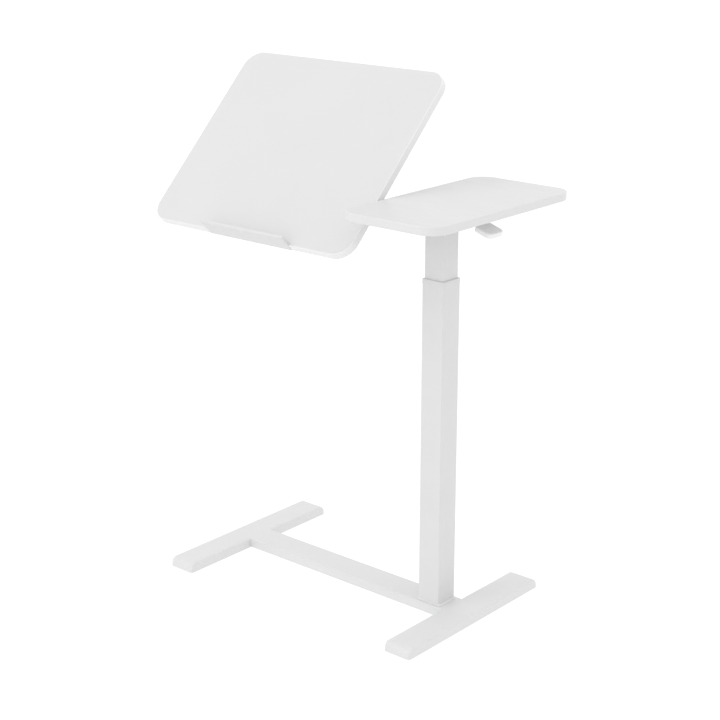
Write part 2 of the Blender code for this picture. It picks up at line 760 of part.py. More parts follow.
def make_hinge(number, x, lift, tilt):
    """A friction hinge: a bracket on the front arm, a leaf on the panel, and the pin that clamps them."""
    middle = HINGE_LENGTH / 2 - EAR_LENGTH
    arm_face = ARM_FRONT - GAP
    low = (x - middle, arm_face - LEAF, ARM_BOTTOM)
    high = (x + middle, arm_face, TILT_Z)
    bracket = box(f"hinge_bracket_{number}", low, high)
    barrel = rod(f"bracket_barrel_{number}", KNUCKLE_RADIUS, 2 * middle, (x, TILT_Y, TILT_Z), "X", 16)
    join(bracket, barrel)
    hang(barrel, lift)
    bore_radius = HINGE_PIN_RADIUS + HINGE_RUN
    cut_hung(bracket, rod(f"bracket_bore_{number}", bore_radius, 0.1, (x, TILT_Y, TILT_Z), "X"), lift)
    hang(keep(bracket, "coat"), lift)

    rear = TILT_Y - LEAF_REAR
    low = (x - HINGE_LENGTH / 2, rear - LEAF_DEPTH, SLAB_BOTTOM - GAP - LEAF)
    high = (x + HINGE_LENGTH / 2, rear, SLAB_BOTTOM - GAP)
    leaf = box(f"hinge_leaf_{number}", low, high)
    for side in (-1, 1):
        length = HINGE_LENGTH / 2 - middle - GAP
        place = (x + side * (middle + GAP + length / 2), TILT_Y, TILT_Z)
        ear = rod(f"leaf_ear_{number}_{side}", KNUCKLE_RADIUS, length, place, "X", 16)
        join(leaf, ear)
        hang(ear, tilt)
    slot_low = (x - middle - GAP, rear - LEAF_SLOT, SLAB_BOTTOM - 2 * PAST)
    slot_high = (x + middle + GAP, rear + 2 * PAST, SLAB_BOTTOM + 2 * PAST)
    cut_hung(leaf, box(f"leaf_slot_{number}", slot_low, slot_high), tilt)
    cut_hung(leaf, rod(f"leaf_bore_{number}", bore_radius, 0.1, (x, TILT_Y, TILT_Z), "X"), tilt)
    for index, (screw_x, screw_y) in enumerate(leaf_screw_places(x), 1):
        place = (screw_x, screw_y, SLAB_BOTTOM)
        cut_hung(leaf, rod(f"leaf_hole_{number}_{index}", WOOD_SCREW[2] + GAP, 2 * PAST, place), tilt)
    hang(keep(leaf, "steel"), tilt)
    make_hinge_pin(number, x, tilt)


def leaf_screw_places(x):
    xs, y = LEAF_SCREW_OFFSETS
    return [(x + dx, TILT_Y + y) for dx in xs]


def make_hinge_pin(number, x, tilt):
    half = HINGE_LENGTH / 2
    head, height = HINGE_PIN_HEAD
    edge = 0.0007
    profile = [
        (0.0, half + height),
        (head - edge, half + height),
        (head, half + height - edge),
        (head, half + GAP),
        (HINGE_PIN_RADIUS, half + GAP),
        (HINGE_PIN_RADIUS, -half - GAP),
        (head, -half - GAP),
        (head, -half - height + edge),
        (head - edge, -half - height),
        (0.0, -half - height),
    ]
    pin = turned(f"hinge_pin_{number}", profile, (x, TILT_Y, TILT_Z), 12)
    pin.rotation_euler = (0, radians(90), 0)
    hang(keep(pin, "steel"), tilt)


def make_panel(tilt):
    low = (PANEL_LEFT, PANEL_FRONT, SLAB_BOTTOM)
    high = (PANEL_RIGHT, -PANEL_FRONT, TOP_Z)
    panel = rounded_block("tilt_panel", low, high, CORNER_RADIUS, 9, ARRIS, 2)
    for number, x in enumerate(HINGE_XS, 1):
        length = HINGE_LENGTH + 2 * RECESS_END
        radius = KNUCKLE_RADIUS + RECESS_MARGIN
        recess = rod(f"panel_recess_{number}", radius, length, (x, TILT_Y, TILT_Z), "X", 16)
        cut_hung(panel, recess, tilt)
        for index, (screw_x, screw_y) in enumerate(leaf_screw_places(x), 1):
            place = (screw_x, screw_y, SLAB_BOTTOM)
            cut_hung(panel, rod(f"panel_hole_{number}_{index}", WOOD_SCREW[2] + GAP, 2 * PAST, place), tilt)
            seat = (screw_x, screw_y, SLAB_BOTTOM - 2 * GAP - LEAF)
            name = f"leaf_screw_{2 * number + index - 2}"
            hang(screw_up(name, WOOD_SCREW, LEAF_SCREW_LENGTH, seat), tilt)
    rebate_depth = LEDGE_THICKNESS - LEDGE_OVERHANG + GAP
    low = (LEDGE_LEFT - GAP, PANEL_FRONT - PAST, SLAB_BOTTOM - PAST)
    high = (LEDGE_RIGHT + GAP, PANEL_FRONT + rebate_depth, TOP_Z + PAST)
    cut_hung(panel, box("panel_rebate", low, high), tilt)
    leg_rear = PANEL_FRONT - LEDGE_OVERHANG + LEDGE_LEG
    low = (LEDGE_LEFT + LEG_INSET - GAP, PANEL_FRONT - PAST, SLAB_BOTTOM - PAST)
    high = (LEDGE_RIGHT - LEG_INSET + GAP, leg_rear + GAP, SLAB_BOTTOM + LEAF + GAP)
    cut_hung(panel, box("panel_leg_recess", low, high), tilt)
    for index, x in enumerate(ledge_screw_xs(), 1):
        place = (x, PANEL_FRONT + LEDGE_SCREW_Y, SLAB_BOTTOM)
        cut_hung(panel, rod(f"panel_ledge_hole_{index}", WOOD_SCREW[2] + GAP, 2 * PAST, place), tilt)
    hang(keep(shade(panel), "board"), tilt)


def ledge_screw_xs():
    middle = (LEDGE_LEFT + LEDGE_RIGHT) / 2
    return [middle - LEDGE_SCREW_X, middle + LEDGE_SCREW_X]


def make_ledge(tilt):
    """The lip that stops a book: an upright web in the panel's edge, and a leg under the panel."""
    front = PANEL_FRONT - LEDGE_OVERHANG
    low = (LEDGE_LEFT, front, SLAB_BOTTOM)
    high = (LEDGE_RIGHT, front + LEDGE_THICKNESS, TOP_Z + LEDGE_PROUD)
    ledge = box("book_ledge", low, high, LEDGE_EDGE, 3)
    leg_low = (LEDGE_LEFT + LEG_INSET, front + LEDGE_THICKNESS / 2, SLAB_BOTTOM)
    leg_high = (LEDGE_RIGHT - LEG_INSET, front + LEDGE_LEG, SLAB_BOTTOM + LEAF)
    leg = box("ledge_leg", leg_low, leg_high)
    join(ledge, leg)
    hang(leg, tilt)
    for index, x in enumerate(ledge_screw_xs(), 1):
        place = (x, PANEL_FRONT + LEDGE_SCREW_Y, SLAB_BOTTOM)
        cut_hung(ledge, rod(f"ledge_hole_{index}", WOOD_SCREW[2] + GAP, 2 * PAST, place), tilt)
        seat = (x, PANEL_FRONT + LEDGE_SCREW_Y, SLAB_BOTTOM - GAP)
        hang(screw_up(f"ledge_screw_{index}", WOOD_SCREW, LEDGE_SCREW_LENGTH, seat), tilt)
    hang(keep(ledge, "plastic"), tilt)


def make_lever_bracket(lift):
    """A folded bracket with two ears, and the pin that the lever rocks on."""
    half = LEVER_WIDTH / 2 + BRACKET_SIDE_RUN
    outside = half + BRACKET_EAR
    floor = HEAD_TOP + GAP
    axis = (LEVER_X, 0, LEVER_Z)
    low = (LEVER_X - BRACKET_HALF, -outside, floor)
    high = (LEVER_X + BRACKET_HALF, outside, LEVER_Z + BRACKET_PROUD)
    bracket = box("lever_bracket", low, high)
    low = (LEVER_X - BRACKET_HALF - PAST, -half, floor + BRACKET_FLOOR)
    high = (LEVER_X + BRACKET_HALF + PAST, half, LEVER_Z + BRACKET_PROUD + PAST)
    cut_hung(bracket, box("bracket_gap", low, high), lift)
    hole = rod("bracket_pin_hole", LEVER_PIN_RADIUS + RUN, 2 * outside + 2 * PAST, axis, "Y", 16)
    cut_hung(bracket, hole, lift)
    hang(keep(bracket, "steel"), lift)
    pin = rod("lever_pin", LEVER_PIN_RADIUS, 2 * (outside + LEVER_PIN_PROUD), axis, "Y", 16)
    hang(keep(pin, "steel"), lift)


def make_lever(lever):
    """The steel lever: a flat nose over the release pin, then a drooping stem inside the paddle."""
    half = LEVER_WIDTH / 2
    thick = LEVER_THICKNESS / 2
    axis = (LEVER_X, 0, LEVER_Z)
    low = (LEVER_X - LEVER_NOSE, -half, LEVER_Z - thick)
    high = (LEVER_KINK + 0.001, half, LEVER_Z + thick)
    arm = box("lever_arm", low, high)
    stem_length = (PADDLE_START + STEM_IN_PADDLE - LEVER_KINK) / cos(LEVER_DROOP)
    stem = box("lever_stem", (0, -half, -thick), (stem_length, half, thick))
    middle = stem_length / 2
    stem.location = (LEVER_KINK + middle * cos(LEVER_DROOP), 0, LEVER_Z - middle * sin(LEVER_DROOP))
    stem.rotation_euler = (0, LEVER_DROOP, 0)
    join(arm, stem)
    hang(stem, lever)
    boss = rod("lever_boss", LEVER_BOSS, LEVER_WIDTH, axis, "Y", 16)
    join(arm, boss)
    hang(boss, lever)
    cut_hung(arm, rod("lever_bore", LEVER_PIN_RADIUS + RUN, LEVER_WIDTH + 2 * PAST, axis, "Y", 16), lever)
    hang(keep(arm, "steel"), lever)
    make_paddle(lever)


def make_paddle(lever):
    """The moulded grip, with a rounded end and a skirt all round its underside."""
    length = (PADDLE_END - PADDLE_START) / cos(LEVER_DROOP)
    half = PADDLE_WIDTH / 2
    mesh_data = cube((length, PADDLE_WIDTH, PADDLE_DEPTH))
    outer = [edge for edge in mesh_data.edges if upright(edge) and edge.verts[0].co.x > 0]
    bevel_edges(mesh_data, outer, PADDLE_OUTER_CORNER, 8)
    inner = [
        edge
        for edge in mesh_data.edges
        if upright(edge) and edge.calc_face_angle(0.0) > 1.0 and edge.verts[0].co.x < 0
    ]
    bevel_edges(mesh_data, inner, PADDLE_INNER_CORNER, 4)
    paddle = object_from("lever_paddle", mesh_data, (0, 0, 0))
    add_bevel(paddle, PADDLE_EDGE, 2)
    drop = (PADDLE_START - LEVER_KINK) * tan(LEVER_DROOP)
    middle_x = (PADDLE_START + PADDLE_END) / 2
    middle_z = LEVER_Z - drop - (middle_x - PADDLE_START) * tan(LEVER_DROOP)
    below = PADDLE_DEPTH / 2 - LEVER_THICKNESS / 2 - PADDLE_ROOF
    paddle.location = (middle_x - below * sin(LEVER_DROOP), 0, middle_z - below * cos(LEVER_DROOP))
    paddle.rotation_euler = (0, LEVER_DROOP, 0)
    slot_half = LEVER_WIDTH / 2 + GAP
    slot_rise = LEVER_THICKNESS / 2 + GAP
    slot_end = STEM_IN_PADDLE / cos(LEVER_DROOP) + GAP - length / 2
    slot = box("paddle_slot", (-length, -slot_half, -slot_rise), (slot_end, slot_half, slot_rise))
    place_in_paddle(slot, paddle, (slot.location.x, 0, below))
    cut_hung(paddle, slot, lever)
    hollow_low = (PADDLE_WALL - length / 2, PADDLE_WALL - half, -2 * PADDLE_DEPTH)
    hollow_high = (length / 2 - PADDLE_TIP, half - PADDLE_WALL, below - PADDLE_WALL)
    hollow = box("paddle_hollow", hollow_low, hollow_high)
    place_in_paddle(hollow, paddle, hollow.location)
    cut_hung(paddle, hollow, lever)
    hang(keep(paddle, "plastic"), lever)


def place_in_paddle(obj, paddle, local):
    """Puts an object at a place given in the paddle's own tilted axes."""
    x, y, z = local
    obj.location = (
        paddle.location.x + x * cos(LEVER_DROOP) + z * sin(LEVER_DROOP),
        y,
        paddle.location.z - x * sin(LEVER_DROOP) + z * cos(LEVER_DROOP),
    )
    obj.rotation_euler = (0, LEVER_DROOP, 0)


def make_release_pin(release):
    tip = LEVER_Z - LEVER_THICKNESS / 2 - GAP
    bottom = ROD_TOP - PIN_LENGTH
    edge = 0.0006
    profile = [
        (0.0, tip),
        (PIN_RADIUS - edge, tip),
        (PIN_RADIUS, tip - edge),
        (PIN_RADIUS, bottom),
        (0.0, bottom),
    ]
    hang(keep(turned("release_pin", profile, (COLUMN_X, 0, 0), 16), "steel"), release)


def main():
    make_base()
    make_column_foot()
    make_outer_column()
    make_gas_cylinder()
    lift = empty_at("lift_slide", (COLUMN_X, 0, OUTER_TOP))
    make_inner_column(lift)
    make_head(lift)
    make_small_top(lift)
    make_gas_rod(lift)
    tilt = empty_at("tilt_axis", (0, TILT_Y, TILT_Z))
    make_panel(tilt)
    make_ledge(tilt)
    for number, x in enumerate(HINGE_XS, 1):
        make_hinge(number, x, lift, tilt)
    make_lever_bracket(lift)
    lever = empty_at("lever_axis", (LEVER_X, 0, LEVER_Z))
    make_lever(lever)
    release = empty_at("release_slide", (COLUMN_X, 0, ROD_TOP))
    make_release_pin(release)
    for holder in (tilt, lever, release):
        hang(holder, lift)
    tilt.rotation_euler = (TILT, 0, 0)


main()
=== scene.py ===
import json
from math import atan2, cos, pi, radians, sin

import bmesh
import bpy
from mathutils import Matrix, Vector


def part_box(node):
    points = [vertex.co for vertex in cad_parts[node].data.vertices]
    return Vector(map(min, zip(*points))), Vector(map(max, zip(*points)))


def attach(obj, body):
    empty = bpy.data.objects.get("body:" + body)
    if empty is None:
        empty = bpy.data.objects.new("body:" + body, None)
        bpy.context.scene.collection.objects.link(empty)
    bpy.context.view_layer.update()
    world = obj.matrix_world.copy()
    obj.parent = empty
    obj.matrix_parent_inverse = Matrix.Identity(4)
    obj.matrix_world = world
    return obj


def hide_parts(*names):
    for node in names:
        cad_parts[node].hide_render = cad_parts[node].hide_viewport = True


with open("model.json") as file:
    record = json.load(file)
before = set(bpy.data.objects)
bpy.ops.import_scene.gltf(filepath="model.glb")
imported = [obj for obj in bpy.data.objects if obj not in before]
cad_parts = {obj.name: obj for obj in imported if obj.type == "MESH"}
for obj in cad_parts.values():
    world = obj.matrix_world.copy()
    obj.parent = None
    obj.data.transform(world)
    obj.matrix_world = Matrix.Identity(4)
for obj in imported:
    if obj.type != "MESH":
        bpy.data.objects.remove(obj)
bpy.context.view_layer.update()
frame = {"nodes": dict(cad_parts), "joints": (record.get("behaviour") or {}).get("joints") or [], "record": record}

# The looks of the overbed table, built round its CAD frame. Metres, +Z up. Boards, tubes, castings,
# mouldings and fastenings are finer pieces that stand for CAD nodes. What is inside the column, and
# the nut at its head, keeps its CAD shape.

JOINTS = {joint["name"]: joint for joint in frame["joints"]}
MOUNTS = {mount["name"]: mount for mount in frame["record"]["mounts"]}

# Camera
CAMERA_PLACE = (1.9307, -2.2290, 1.3976)
CAMERA_PITCH = radians(17.843)  # below the horizon
CAMERA_TURN = radians(40.614)
CAMERA_LENS = 82.3

# Light. Each lamp: its place, its target, its diameter and its power.
WORLD_GLOW = 1.03
FLOOR_GLOW = 0.88
FLOOR_HALF = 30.0
FLOOR_TONE = 0.16
FLOOR_CHANGE = 0.01
KEY_LAMP = ((-1.6, -3.2, 3.4), (0.0, 0.0, 0.5), 2.6, 26.0)
TOP_LAMP = ((0.2, 0.3, 3.8), (0.0, 0.0, 0.4), 3.0, 6.0)

# Rounding
SUPPORT = 0.0004  # a narrow band that keeps the shading of a flat face flat
CORNER_STEPS = 14
ARRIS_STEPS = 4
BOARD_STEPS = 24
PLATE_STEPS = 8
BAR_STEPS = 6
TUBE_STEPS = 8
LEAST_CORNER = 0.0001
SMOOTH_ANGLE = radians(35)
FLAT_ANGLE = radians(1)
BEVEL_ANGLE = radians(40)
MERGE_DISTANCE = 1e-6

# Cutters
PAST = 0.002  # how far a cutter reaches beyond the face that it cuts
FAR_PAST = 0.01
CUT_CORNER = 0.0003
CUT_ARRIS = 0.0002

# Boards
BOARD_CORNER = 0.036
BOARD_ARRIS = 0.0016
LEDGE_THICKNESS = 0.0055
LEDGE_ARRIS = 0.0018
LEDGE_LEG_INSET = 0.004
LEDGE_LEG_START = 0.0025
LEDGE_LEG_CORNER = 0.0004
HINGE_RECESS_END = 0.003
HINGE_RECESS_ROOM = 0.0012
LEVEL = 0.999  # a face whose normal has at least this much Z is level
FLUSH = 0.0001
GAP = 0.0003
SEAM = 0.00028  # closes most of the CAD's gap between pieces that are fastened together

# Tubes
TUBE_CORNER = 0.0022
TUBE_WALL = 0.0015
TUBE_EDGE = 0.0001
LEAST_BORE_CORNER = 0.0008
OUTER_SIDE = 0.048
ARM_CORNER = 0.0020
ARM_WALL = 0.0018
CROSSBAR_CORNER = 0.0018
CROSSBAR_WALL = 0.002
CROSSBAR_LIFT = 0.0002  # keeps its underside off the plane of the feet's
BOLT_ACCESS = 0.001  # room round a bolt's head
COLLAR_HEIGHT = 0.009
COLLAR_CORNER = 0.0026
COLLAR_ARRIS = 0.0004
COLLAR_SLOPE = 0.0008  # the lip's top falls this much from the bore to its outer edge
COLLAR_FOOT = 0.0002
COLLAR_LEAD = 0.00015
COLLAR_RUN = 0.00006
COLLAR_BORE_EASE = 0.0004
SLEEVE_ROOM = 0.0002
SLEEVE_CORNER = 0.0009
CAP_ARRIS = 0.0008
PLUG_ROOM = 0.0002
PLUG_INSET = 0.001
PLUG_CORNER = 0.0008
PLUG_ARRIS = 0.0006

# Plates: corner radius, edge radius
BASE_PLATE_EDGES = (0.004, 0.0001)
HEAD_PLATE_EDGES = (0.005, 0.0006)
TOP_PLATE_EDGES = (0.012, 0.0004)
TOP_PLATE_STEPS = 10
HEAD_BORE = 0.0052

# Welds
WELD_PITCH = 0.0022
WELD_STEPS = 5  # rings along one ripple
WELD_SIDES = 12
WELD_RADIUS = 0.0016
WELD_START = 0.35  # how thick the bead is at its ends
WELD_TAPER = 0.003
WELD_RIPPLE = 0.14
WELD_CORNER = 0.0015
FRAME_WELD = 0.030
FRAME_WELD_INSET = 0.006

# Feet
FOOT_NOSE = 0.0135
FOOT_EDGE = 0.0050
FOOT_WALL = 0.0035
FOOT_ROOF = 0.0065
FOOT_STEPS = 12
FOOT_CORNER = 0.001  # the least corner radius near the foot's top
FOOT_CORNER_SHARE = 0.7
POCKET_NEAR = 0.040
POCKET_END = 0.045
POCKET_CORNER = 0.004
POCKET_ARRIS = 0.001
BAYS = 3
RIB = 0.003
GLIDE_SIDES = 40
GLIDE_ARRIS = 0.0009
GLIDE_STEM = 0.0022
GLIDE_TOP = 0.0002
GLIDE_TOP_EDGE = 0.0004
GLIDE_HOLLOW = ((0.0034, 0.0), (0.0028, 0.0006), (0.0028, 0.0014))  # radius, height

# Bumpers
BUMPER_SIDES = 32
BUMPER_STEPS = 6
BUMPER_EDGE = 0.0004
BUMPER_CROWN = 0.0028
BUMPER_SKIRT = 0.45

# Fastenings: head radius, head height, shank radius
WOOD_SCREW = (0.0036, 0.0016, 0.0017)
BASE_SCREW = (0.0052, 0.0024, 0.0028)
SIDES = 24
HOLE_SIDES = 16
HOLE_DEPTH = 0.004
HEAD_STEPS = 5
HEAD_FLAT = 0.62  # the rest are shares of the head's radius or height
HEAD_SKIRT = 0.35
CROSS_MOUTH = (0.50, 0.11)
CROSS_BOTTOM = (0.36, 0.09)
HEXAGON_MOUTH = 1.02
HEXAGON_BOTTOM = 0.98
DRIVE_FLOOR = 0.25
SCREW_TURN = 37  # degrees from each screw to the next
SHOULDER = 0.00001

# Hinges
KNUCKLE_RADIUS = 0.0058
HINGE_PLATE = 0.0024
HINGE_BORE = 0.0026
BRACKET_EDGE = 0.0005
ROD_SIDES = 40
ROD_EDGE = 0.0004
LEAF_REAR = 0.0030
LEAF_CORNER = 0.0030
LEAF_ARRIS = 0.0004
LEAF_SLOT = 0.0055
LEAF_SLOT_CORNER = 0.0006
LEAF_SLOT_PAST = 0.02
LEAF_BORE_PAST = 0.05
PIN_SIDES = 32
PIN_SHANK = 0.0025
PIN_DOME = ((0.55, 0.0), (0.86, 0.0004), (1.0, 0.0012))  # share of the radius, distance from the end

# Lever
LEVER_DROOP = radians(17.7)
PADDLE_TIP_CORNER = 0.0105
PADDLE_ROOT_CORNER = 0.006
PADDLE_DEPTH = 0.0090
PADDLE_WIDTH = 0.043
PADDLE_STEPS = 12
PADDLE_SUPPORT = 0.0002
PADDLE_LEAST_CORNER = 0.0008
PADDLE_ROOF = 0.0046
PADDLE_WALL = 0.0032
PADDLE_FOOT_ARRIS = 0.0008
PADDLE_TOP_ARRIS = 0.0026
PADDLE_DISH = (  # how far in from the side, how far down from the top
    (0.0032, 0.0),
    (0.0040, 0.0001),
    (0.0050, 0.0002),
    (0.0064, 0.0003),
    (0.0080, 0.00035),
    (0.0095, 0.00035),
)
ARM_THICKNESS = 0.0031
ARM_SLOT_DEPTH = 0.0316
ARM_SLOT_SKIN = 0.0022
ARM_SLOT_DROP = 0.0004
LEVER_ARM_EDGE = 0.0003
LEVER_BRACKET_EDGE = 0.0004
LEVER_PIN_EDGE = 0.0005
LEVER_PIN_END = 0.7

# The panel stands tilted in the frame, so its pieces are made flat and then turned.
TILT_PLACE = Vector(JOINTS["panel_tilt"]["pos_m"])
FACE_NORMAL = MOUNTS["panel_face"]["axis"]
PANEL_TILT = (
    Matrix.Translation(TILT_PLACE)
    @ Matrix.Rotation(atan2(-FACE_NORMAL[1], FACE_NORMAL[2]), 4, "X")
    @ Matrix.Translation(-TILT_PLACE)
)
UPRIGHT = Matrix.Identity(4)
ALONG_X = Matrix(((0, 0, 1, 0), (1, 0, 0, 0), (0, 1, 0, 0), (0, 0, 0, 1)))
ALONG_Y = Matrix(((0, 1, 0, 0), (0, 0, 1, 0), (1, 0, 0, 0), (0, 0, 0, 1)))


# ---------------------------------------------------------------- materials


class Shader:
    """A Principled material with helpers for procedural detail, in the object's own coordinates."""

    def __init__(self, name, roughness, metallic=0.0, **sockets):
        self.made = bpy.data.materials.new(name)
        self.made.use_nodes = True
        self.tree = self.made.node_tree
        self.shader = self.tree.nodes["Principled BSDF"]
        self.shader.inputs["Roughness"].default_value = roughness
        self.shader.inputs["Metallic"].default_value = metallic
        for socket, value in sockets.items():
            self.shader.inputs[socket.replace("_", " ")].default_value = value
        self.place = self.tree.nodes.new("ShaderNodeTexCoord").outputs["Object"]
        self.normal = None

    def link(self, output, node, socket):
        self.tree.links.new(output, node.inputs[socket])

    def stretched(self, scale, turn=(0, 0, 0)):
        node = self.tree.nodes.new("ShaderNodeMapping")
        node.inputs["Scale"].default_value = scale
        node.inputs["Rotation"].default_value = turn
        self.link(self.place, node, "Vector")
        return node.outputs["Vector"]

    def noise(self, scale, detail=2.0, roughness=0.5, place=None):
        node = self.tree.nodes.new("ShaderNodeTexNoise")
        node.inputs["Scale"].default_value = scale
        node.inputs["Detail"].default_value = detail
        node.inputs["Roughness"].default_value = roughness
        self.link(place or self.place, node, "Vector")
        return node.outputs["Fac"]

    def cells(self, scale, place=None, output="Distance"):
        node = self.tree.nodes.new("ShaderNodeTexVoronoi")
        node.inputs["Scale"].default_value = scale
        self.link(place or self.place, node, "Vector")
        return node.outputs[output]

    def fit(self, value, low, high, to_low=0.0, to_high=1.0):
        node = self.tree.nodes.new("ShaderNodeMapRange")
        node.inputs["From Min"].default_value = low
        node.inputs["From Max"].default_value = high
        node.inputs["To Min"].default_value = to_low
        node.inputs["To Max"].default_value = to_high
        self.link(value, node, "Value")
        return node.outputs["Result"]

    def combine(self, first, second, operation="ADD"):
        node = self.tree.nodes.new("ShaderNodeMath")
        node.operation = operation
        for index, value in enumerate((first, second)):
            if isinstance(value, (int, float)):
                node.inputs[index].default_value = value
            else:
                self.tree.links.new(value, node.inputs[index])
        return node.outputs["Value"]

    def between(self, factor, first, second):
        node = self.tree.nodes.new("ShaderNodeMix")
        node.data_type = "RGBA"
        self.link(factor, node, 0)
        for index, colour in ((6, first), (7, second)):
            if isinstance(colour, tuple):
                node.inputs[index].default_value = (*colour, 1.0)
            else:
                self.tree.links.new(colour, node.inputs[index])
        return node.outputs[2]

    def colour(self, output):
        self.link(output, self.shader, "Base Color")

    def rough(self, output):
        self.link(output, self.shader, "Roughness")

    def bump(self, height, distance, strength=1.0):
        node = self.tree.nodes.new("ShaderNodeBump")
        node.inputs["Distance"].default_value = distance
        node.inputs["Strength"].default_value = strength
        self.link(height, node, "Height")
        if self.normal:
            self.link(self.normal, node, "Normal")
        self.normal = node.outputs["Normal"]
        self.link(self.normal, self.shader, "Normal")


def shaded(tone, change):
    """A neutral grey of this tone, and one a little darker."""
    return (tone, tone, tone), (tone - change, tone - change, tone - change)


def laminate(name, tone):
    """White melamine: a fine pearl texture, faint clouding, and the sheen left by wiping."""
    made = Shader(name, 0.36)
    light, dark = shaded(tone, 0.010)
    cloud = made.noise(9.0, 3.0)
    grain = made.noise(1400.0, 1.0)
    tint = made.combine(made.fit(cloud, 0.30, 0.70), made.fit(grain, 0.35, 0.65, -0.25, 0.25))
    made.colour(made.between(tint, light, dark))
    wiped = made.noise(14.0, 4.0, 0.6, made.stretched((1.0, 6.0, 6.0), (0, 0, 0.35)))
    made.rough(made.fit(wiped, 0.3, 0.7, 0.31, 0.42))
    made.bump(made.noise(900.0, 2.0), 0.00004, 0.55)
    return made.made


def edging(name, tone):
    """Extruded edge band: long faint lines from the die, a little glossier than the faces."""
    made = Shader(name, 0.3)
    light, dark = shaded(tone, 0.012)
    lines = made.noise(1.0, 2.0, 0.5, made.stretched((16.0, 16.0, 2600.0)))
    made.colour(made.between(made.fit(made.noise(22.0, 2.0), 0.3, 0.7), light, dark))
    made.rough(made.fit(lines, 0.3, 0.7, 0.26, 0.36))
    made.bump(lines, 0.00003, 0.5)
    return made.made


def powder_coat(name, tone):
    """White powder coat: orange peel, a fine grain, faint clouding, and patches rubbed duller."""
    made = Shader(name, 0.46)
    light, dark = shaded(tone, 0.016)
    peel = made.noise(620.0, 2.0, 0.45)
    grain = made.noise(2600.0, 1.0)
    made.colour(made.between(made.fit(made.noise(12.0, 4.0, 0.6), 0.32, 0.72), light, dark))
    scuff = made.noise(1.0, 3.0, 0.6, made.stretched((30.0, 30.0, 160.0)))
    made.rough(made.fit(scuff, 0.3, 0.75, 0.42, 0.54))
    made.bump(made.combine(peel, made.combine(grain, 0.25, "MULTIPLY")), 0.00010, 0.45)
    return made.made


def moulded(name, tone, change=0.02, roughness=(0.40, 0.55)):
    """Moulded nylon with a spark-eroded texture."""
    made = Shader(name, roughness[0])
    light, dark = shaded(tone, change)
    made.colour(made.between(made.fit(made.noise(60.0, 3.0), 0.3, 0.7), light, dark))
    pits = made.cells(1700.0)
    made.rough(made.fit(made.noise(220.0, 2.0), 0.3, 0.7, *roughness))
    made.bump(made.combine(pits, made.noise(3000.0, 1.0)), 0.00005, 0.45)
    return made.made


def zinc(name, tone, roughness=(0.26, 0.42)):
    """Bright zinc plate: patches of crystal in nearby tones, and fine drawing lines."""
    made = Shader(name, roughness[0], 1.0)
    cloud = made.cells(160.0, output="Color")
    value = made.fit(cloud, 0.0, 1.0)
    light = (tone, tone, tone * 1.01)
    dark = (tone * 0.82, tone * 0.83, tone * 0.85)
    made.colour(made.between(value, light, dark))
    drawn = made.noise(1.0, 2.0, 0.5, made.stretched((2400.0, 60.0, 2400.0)))
    made.rough(made.fit(drawn, 0.3, 0.7, *roughness))
    made.bump(drawn, 0.00002, 0.4)
    return made.made


def rubber(name):
    made = Shader(name, 0.8)
    made.colour(made.between(made.noise(400.0, 2.0), (0.030, 0.030, 0.031), (0.055, 0.055, 0.054)))
    made.rough(made.fit(made.noise(180.0, 2.0), 0.3, 0.7, 0.7, 0.9))
    made.bump(made.noise(1500.0, 2.0), 0.00008, 0.6)
    return made.made


def chipboard(name):
    """The raw board inside a cut: chips in several tans, each a little dished."""
    made = Shader(name, 0.85)
    chips = made.cells(420.0, made.stretched((1.0, 1.6, 2.4)), "Color")
    tint = made.fit(chips, 0.1, 0.9)
    made.colour(made.between(tint, (0.62, 0.47, 0.30), (0.38, 0.26, 0.15)))
    made.bump(made.cells(420.0, made.stretched((1.0, 1.6, 2.4))), 0.0003, 0.6)
    return made.made


LAMINATE = laminate("white_laminate", 0.677)
BACKING = laminate("backing_laminate", 0.68)
EDGING = edging("white_edging", 0.71)
# Painted light: the panel's edge band is a lighter copy of the white edging, to offset the shade in the narrow gap
# beside the small top.
LIGHTENED_PANEL_EDGING = edging("panel_edging_lightened", 0.79)
CHIPBOARD = chipboard("chipboard_core")
COAT = powder_coat("white_powder_coat", 0.69)
BASE_COAT = powder_coat("base_powder_coat", 0.715)
# Painted light: the base plate's coat is a lighter copy of the powder coat, to offset the shade round the column's
# foot.
LIGHTENED_PLATE_COAT = powder_coat("plate_powder_coat_lightened", 0.77)
PLASTIC = moulded("white_nylon", 0.685)
LEDGE_PLASTIC = moulded("ledge_nylon", 0.69)
# Painted light: the lever's nylon is made lighter to offset the shade that the small top casts on the paddle.
LIGHTENED_LEVER_PLASTIC = moulded("lever_nylon_lightened", 0.85, 0.02, (0.40, 0.52))
GREY_PLASTIC = moulded("grey_nylon", 0.28, 0.03)
STEEL = zinc("zinc_plate", 0.70)
POLISHED = zinc("ground_steel", 0.66, (0.14, 0.24))
RUBBER = rubber("black_rubber")


# ---------------------------------------------------------------- geometry


def flat_box(node, matrix=UPRIGHT):
    """A CAD node's corners before the turn that the matrix makes."""
    back = matrix.inverted()
    points = [back @ vertex.co for vertex in frame["nodes"][node].data.vertices]
    low = Vector(min(point[axis] for point in points) for axis in range(3))
    high = Vector(max(point[axis] for point in points) for axis in range(3))
    return low, high


def axis_of(node):
    """The upright line through the middle of a CAD node."""
    low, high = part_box(node)
    middle = (low + high) / 2
    return Matrix.Translation((middle.x, middle.y, 0))


